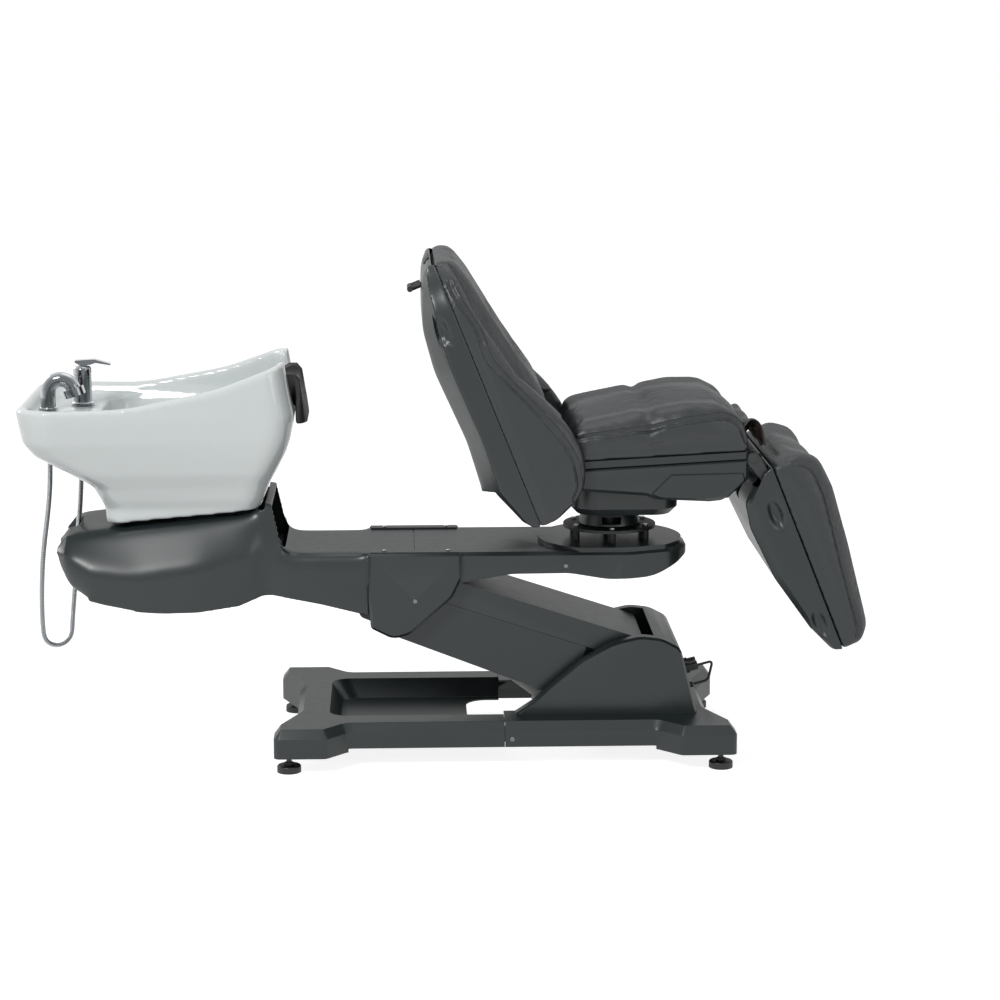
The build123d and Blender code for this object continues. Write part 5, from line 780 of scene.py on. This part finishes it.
hoseRoute = [
    (-0.888, -0.045, 0.690), (-0.889, -0.044, 0.640), (-0.893, -0.041, 0.590), (-0.900, -0.037, 0.540),
    (-0.908, -0.032, 0.490), (-0.915, -0.027, 0.435), (-0.919, -0.021, 0.380), (-0.921, -0.017, 0.330),
    (-0.921, -0.013, 0.285), (-0.919, -0.010, 0.252), (-0.907, -0.003, 0.236), (-0.889, 0.007, 0.230),
    (-0.871, 0.017, 0.236), (-0.859, 0.024, 0.252), (-0.857, 0.027, 0.285), (-0.853, 0.031, 0.330),
    (-0.848, 0.035, 0.385), (-0.844, 0.038, 0.440), (-0.839, 0.041, 0.500), (-0.833, 0.043, 0.560),
    (-0.829, 0.045, 0.620), (-0.827, 0.045, 0.686),
]


def splineOf(name, route):
    data = bpy.data.curves.new(name, "CURVE")
    data.dimensions = "3D"
    data.resolution_u = 16
    spline = data.splines.new("NURBS")
    spline.points.add(len(route) - 1)
    for point, place in zip(spline.points, route):
        point.co = (*place, 1.0)
    spline.order_u = 3
    spline.use_endpoint_u = True
    return data


def splinePath(name, route):
    made = bpy.data.objects.new(name, splineOf(name, route))
    bpy.context.scene.collection.objects.link(made)
    bpy.context.view_layer.update()
    mesh = bpy.data.meshes.new_from_object(made)
    path = [v.co.copy() for v in mesh.vertices]
    bpy.data.objects.remove(made)
    bpy.data.meshes.remove(mesh)
    return path


hose = {"radius": 0.0062, "rib": 0.0008, "swell": 1.6, "pitch": 0.0042, "step": 0.00105, "sides": 20}


def showerHose():
    path = resampled(splinePath("hose_line", hoseRoute), hose["step"])
    radii = []
    for index in range(len(path)):
        wave = math.sin(math.pi * ((index * hose["step"] / hose["pitch"]) % 1.0)) ** 2
        radii.append(hose["radius"] - hose["rib"] + hose["rib"] * wave * hose["swell"])
    made = newObject("shower_hose_coil", tubeMesh("shower_hose_coil", path, radii, hose["sides"]), "chrome")
    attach(made, "beam")
    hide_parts("shower_hose")


showerHose()


cableRoute = [
    (0.5990, -0.0208, 0.1767), (0.6164, -0.0208, 0.1812), (0.6338, -0.0208, 0.1856), (0.6289, -0.0208, 0.1627),
    (0.6239, -0.0208, 0.1398), (0.6065, -0.0208, 0.1354), (0.5891, -0.0208, 0.1309),
]


cable = {"radius": 0.0030, "step": 0.0015, "sides": 16}


def linkCable():
    path = resampled(splinePath("cable_line", cableRoute), cable["step"])
    radii = [cable["radius"]] * len(path)
    made = newObject("link_cable_run", tubeMesh("link_cable_run", path, radii, cable["sides"]), "rubber")
    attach(made, "base")
    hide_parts("link_cable")


linkCable()


# Plastic covers and metal parts

flowing = {
    "pedestal_cover": {"voxel": 0.0027, "crisp": 62, "keep": 0.006, "ease": 420, "faces": 150000},
    "back_shell": {
        "voxel": 0.0027, "crisp": 62, "keep": 0.006, "ease": 300, "faces": 150000,
        "dents": {
            "along": (-0.374, 0, 0.927), "places": [(-0.004, 0.279, 0.997)], "reach": (0.030, 0.016), "depth": 0.014,
            "wall": 0.02,
        },
    },
    "leg_shell": {
        "voxel": 0.0027, "crisp": 40, "keep": 0.006, "ease": 60, "faces": 150000,
        "dents": {
            "along": (0.373, 0, -0.928), "places": [(0.7435, 0.246, 0.579), (0.8477, 0.246, 0.326)],
            "reach": (0.032, 0.014), "depth": 0.013, "wall": 0.02,
        },
    },
}
eased("basin", "ceramic", {"voxel": 0.0045, "ease": 22, "faces": 180000})


# The cover's lower edge in x and z, read off the photograph, and how far the draw reaches up and in
belly = {
    "knots": ((-0.866, 0.436), (-0.832, 0.397), (-0.785, 0.373), (-0.694, 0.354), (-0.632, 0.348),
              (-0.547, 0.349), (-0.479, 0.356), (-0.407, 0.367)),
    "count": 12, "bins": 60, "near": 0.006, "bare": 0.35, "up": 0.10, "ends": (0.02, 0.05), "most": (-0.018, 0.012),
}


def sagged(made):
    # The cover's lower edge follows a smooth curve in place of its straight runs
    curve = curvedThrough([(x, 0, z) for x, z in belly["knots"]], belly["count"])
    start, end = belly["knots"][0][0], belly["knots"][-1][0]
    coords = coordsOf(made.data)
    x, y, z = coords.T
    bins = np.linspace(start, end, belly["bins"])
    lowest = []
    for place in bins:
        near = np.abs(x - place) < belly["near"]
        lowest.append(z[near].min() if near.any() else belly["bare"])
    now = np.interp(x, bins, lowest)
    wanted = np.interp(x, [p.x for p in curve], [p.z for p in curve])
    share = np.clip(1.0 - (z - now) / belly["up"], 0.0, 1.0) ** 2
    ends = np.clip((x - start) / belly["ends"][0], 0.0, 1.0) * np.clip((end - x) / belly["ends"][1], 0.0, 1.0)
    coords[:, 2] = z + np.clip(wanted - now, *belly["most"]) * share * ends
    setCoords(made.data, coords)


# Where each share starts and how far it runs, and how much it moves
pad = {
    "form": {"voxel": 0.0022, "ease": 30, "faces": 60000},
    "inside": (0.345, 0.095), "flap": (0.329, 0.012), "drop": (0.872, 0.11), "wide": (0.055, 0.042),
    "high": (0.80, 0.08), "sink": 0.62, "corner": 0.022, "lean": 0.013, "fold": (0.0028, 150.0), "narrow": 0.20,
}


def rising(value, start, run):
    return np.clip((value - start) / run, 0.0, 1.0)


def neckPad():
    # The pad in the neck notch: it follows the rim inside, and its flap hangs outwards in soft folds
    made = eased("neck_rest", "black", pad["form"])
    coords = coordsOf(made.data)
    x, y, z = coords.T
    inside = rising(-x, *pad["inside"])
    flap = rising(x, -pad["flap"][0], pad["flap"][1])
    drop = rising(-z, -pad["drop"][0], pad["drop"][1])
    wide = rising(np.abs(y), *pad["wide"])
    high = rising(z, *pad["high"])
    lowered = np.maximum(z - pad["high"][0], 0.0) * pad["sink"] * inside + pad["corner"] * wide ** 2 * high * flap
    x = x + flap * drop * (pad["lean"] + pad["fold"][0] * np.sin(y * pad["fold"][1]))
    y = y * (1.0 - pad["narrow"] * flap * drop)
    setCoords(made.data, np.column_stack((x, y, z - lowered)))


for node, values in flowing.items():
    cover = eased(node, "shell", values)
    if "dents" in values:
        dented(cover, values["dents"])
    if node == "pedestal_cover":
        sagged(cover)
neckPad()
for node in ("front_base_cover", "rear_base_cover", "arm_upper_cover", "arm_lower_cover", "platform_cover",
             "wing_cover_near", "wing_cover_far", "swivel_cone", "seat_shell"):
    skinOf(node, "shell", 0.0016, 24.0, 3)
for node in ("seat_trim_band", "head_slot_cover", "power_panel", "panel_plugs"):
    skinOf(node, "shellDark", 0.0010)
for node in ("mixer_body", "mixer_cap", "mixer_lever", "handset_socket", "spray_handset", "drain_strainer"):
    skinOf(node, "chrome", 0.0008)
skinOf("swivel_base_plate", "frame", 0.0006)
skinOf("rear_handle", "black", 0.0006)
repaint("chrome", "base_cover_screws", "wing_screws")
repaint("steel", "base_pivot_pins", "arm_pivot_bushes", "beam_pivot_pin", "swivel_bolts")
repaint("frame", "base_frame", "arm_frame", "beam_frame", "tie_link", "seat_frame", "back_frame", "leg_frame")
repaint("white", "lift_motor", "recline_motor", "leg_motor")
repaint("alloy", "lift_rod", "recline_rod", "leg_rod")
repaint("board", "back_board", "leg_board")
repaint("rubber", "supply_hoses")
repaint("black", "drain_tail", "levelling_foot_front_near", "levelling_foot_front_far",
        "levelling_foot_rear_near", "levelling_foot_rear_far")
print("covers done")


# Cushions

# A point on the seam line of each pad, and the pad's outward direction
seatBase = ((0.287, 0, 0.697), (-0.055, 0, 1))
backBase = ((0.220, 0, 0.562), (0.927, 0, 0.374))
legBase = ((0.734, 0, 0.688), (0.928, 0, 0.373))


def backSpot(along, height, y):
    # A place on the back, along it from its seam line and out from it
    (x, _, z), (out, _, up) = backBase
    return Vector((x - up * along + out * height, y, z + out * along + up * height))


def legSpot(along, height, y):
    (x, _, z), (out, _, up) = legBase
    return Vector((x + up * along + out * height, y, z - out * along + up * height))


def seatSeams():
    seams = []
    for side in (-1, 1):
        edge = [
            (0.290, side * 0.247, 0.746), (0.330, side * 0.247, 0.755), (0.447, side * 0.247, 0.772),
            (0.520, side * 0.247, 0.786), (0.590, side * 0.247, 0.797), (0.633, side * 0.246, 0.800),
            (0.657, side * 0.246, 0.786), (0.670, side * 0.245, 0.765), (0.682, side * 0.243, 0.735),
        ]
        seams.append({
            "line": curvedThrough(edge), "depth": 0.0050, "width": 0.0050, "stitches": (-0.0085, 0.0085),
            "pleats": 0.0005, "pleatReach": 0.02, "fade": 0.004,
        })
    across = [(0.462, y, 0.82) for y in (-0.12, -0.06, 0.0, 0.06, 0.12)]
    seams.append({
        "line": curvedThrough(across), "depth": 0.007, "width": 0.010, "stitches": (),
        "pleats": 0.0022, "pleatReach": 0.045, "fade": 0.10,
    })
    return seams


cushion("seat_cushion", {
    "voxel": 0.006, "smooth": 6, "pressure": 3.5, "cap": 0.006, "hold": 0.012,
    "base": seatBase, "seams": seatSeams(), "fill": 0.75,
})


def backSeams():
    across = [backSpot(0.352, 0.085, y) for y in (-0.17, -0.09, 0, 0.09, 0.17)]
    upper = [backSpot(0.455, 0.062, y) for y in (-0.17, -0.09, 0, 0.09, 0.17)]
    return [
        {"line": curvedThrough(across), "depth": 0.009, "width": 0.009, "stitches": (), "pleats": 0.0016,
         "pleatReach": 0.035, "fade": 0.06},
        {"line": curvedThrough(upper), "depth": 0.006, "width": 0.007, "stitches": (), "pleats": 0.0010,
         "pleatReach": 0.03, "fade": 0.06},
    ]


cushion("back_cushion", {
    "voxel": 0.006, "smooth": 6, "pressure": 3.0, "cap": 0.005, "hold": 0.012,
    "base": backBase, "seams": backSeams(),
})


def bolsterSeams(side):
    shape = [(0.600, 0.016), (0.549, 0.015), (0.461, 0.033), (0.402, 0.030), (0.341, 0.045), (0.255, 0.080),
             (0.184, 0.107), (0.123, 0.120), (0.085, 0.118), (0.051, 0.110), (0.020, 0.085)]
    line = [backSpot(a, h, side * 0.281) for a, h in shape]
    return [{
        "line": curvedThrough(line), "depth": 0.0045, "width": 0.0050, "stitches": (-0.0085, 0.0085),
        "pleats": 0.0005, "pleatReach": 0.03, "fade": 0.004,
    }]


for name, side in (("back_bolster_near", -1), ("back_bolster_far", 1)):
    cushion(name, {
        "voxel": 0.005, "smooth": 6, "pressure": 2.5, "cap": 0.003, "hold": 0.010, "slot": "vinyl_light",
        "base": backBase, "seams": bolsterSeams(side),
    })


def legSeams():
    seams = []
    for side in (-1, 1):
        shape = [(0.012, 0.055), (0.040, 0.082), (0.100, 0.090), (0.180, 0.085), (0.260, 0.070), (0.350, 0.060),
                 (0.420, 0.052), (0.447, 0.040)]
        line = [legSpot(a, h, side * 0.249) for a, h in shape]
        seams.append({
            "line": curvedThrough(line), "depth": 0.0045, "width": 0.0050, "stitches": (0.0085,), "pleats": 0.0003,
            "pleatReach": 0.02, "fade": 0.004,
        })
    return seams


cushion("leg_cushion", {
    "voxel": 0.006, "smooth": 6, "pressure": 3.0, "cap": 0.005, "hold": 0.012,
    "base": legBase, "seams": legSeams(),
})


# The flap's drawn profile, its half width, its ripple, and how it sinks and leans beyond its near end
flap = {
    "profile": ((0.669, 0, 0.774), (0.683, 0, 0.789), (0.700, 0, 0.787), (0.713, 0, 0.768), (0.721, 0, 0.732)),
    "half": 0.236, "columns": 48, "thickness": 0.0020, "ripple": 0.0012, "waves": (52, 0.11), "sway": 0.5,
    "slack": (-0.225, 0.13), "tail": 0.55, "lean": 0.016, "sink": 0.046,
}


def gussetFlap():
    # The leather flap over the gap between seat and leg rest, with its brown lining underneath
    profile = curvedThrough(flap["profile"])
    verts, faces = [], []
    for row, spot in enumerate(profile):
        for column in range(flap["columns"] + 1):
            y = flap["half"] * (2 * column / flap["columns"] - 1)
            lift = flap["ripple"] * math.sin(y * flap["waves"][0] + row * flap["waves"][1])
            slack = float(rising(y, *flap["slack"]))
            slack = slack * slack * (3 - 2 * slack) * (1.0 - flap["tail"] * row / len(profile))
            x = spot.x + lift * flap["sway"] + flap["lean"] * slack
            verts.append((x, y, spot.z + lift - flap["sink"] * slack))
    wide = flap["columns"] + 1
    for row in range(len(profile) - 1):
        for column in range(flap["columns"]):
            start = row * wide + column
            faces.append((start, start + wide, start + wide + 1, start + 1))
    mesh = bpy.data.meshes.new("leg_gusset_flap")
    mesh.from_pydata(verts, [], faces)
    made = newObject("leg_gusset_flap", mesh, "leather")
    made.data.materials.append(finishes["lining"])
    body = made.modifiers.new("Body", "SOLIDIFY")
    body.thickness = flap["thickness"]
    body.offset = -1.0
    body.material_offset = 1
    applyModifiers(made)
    made.data.shade_smooth()
    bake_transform(made)


gussetFlap()
print("cushions done")
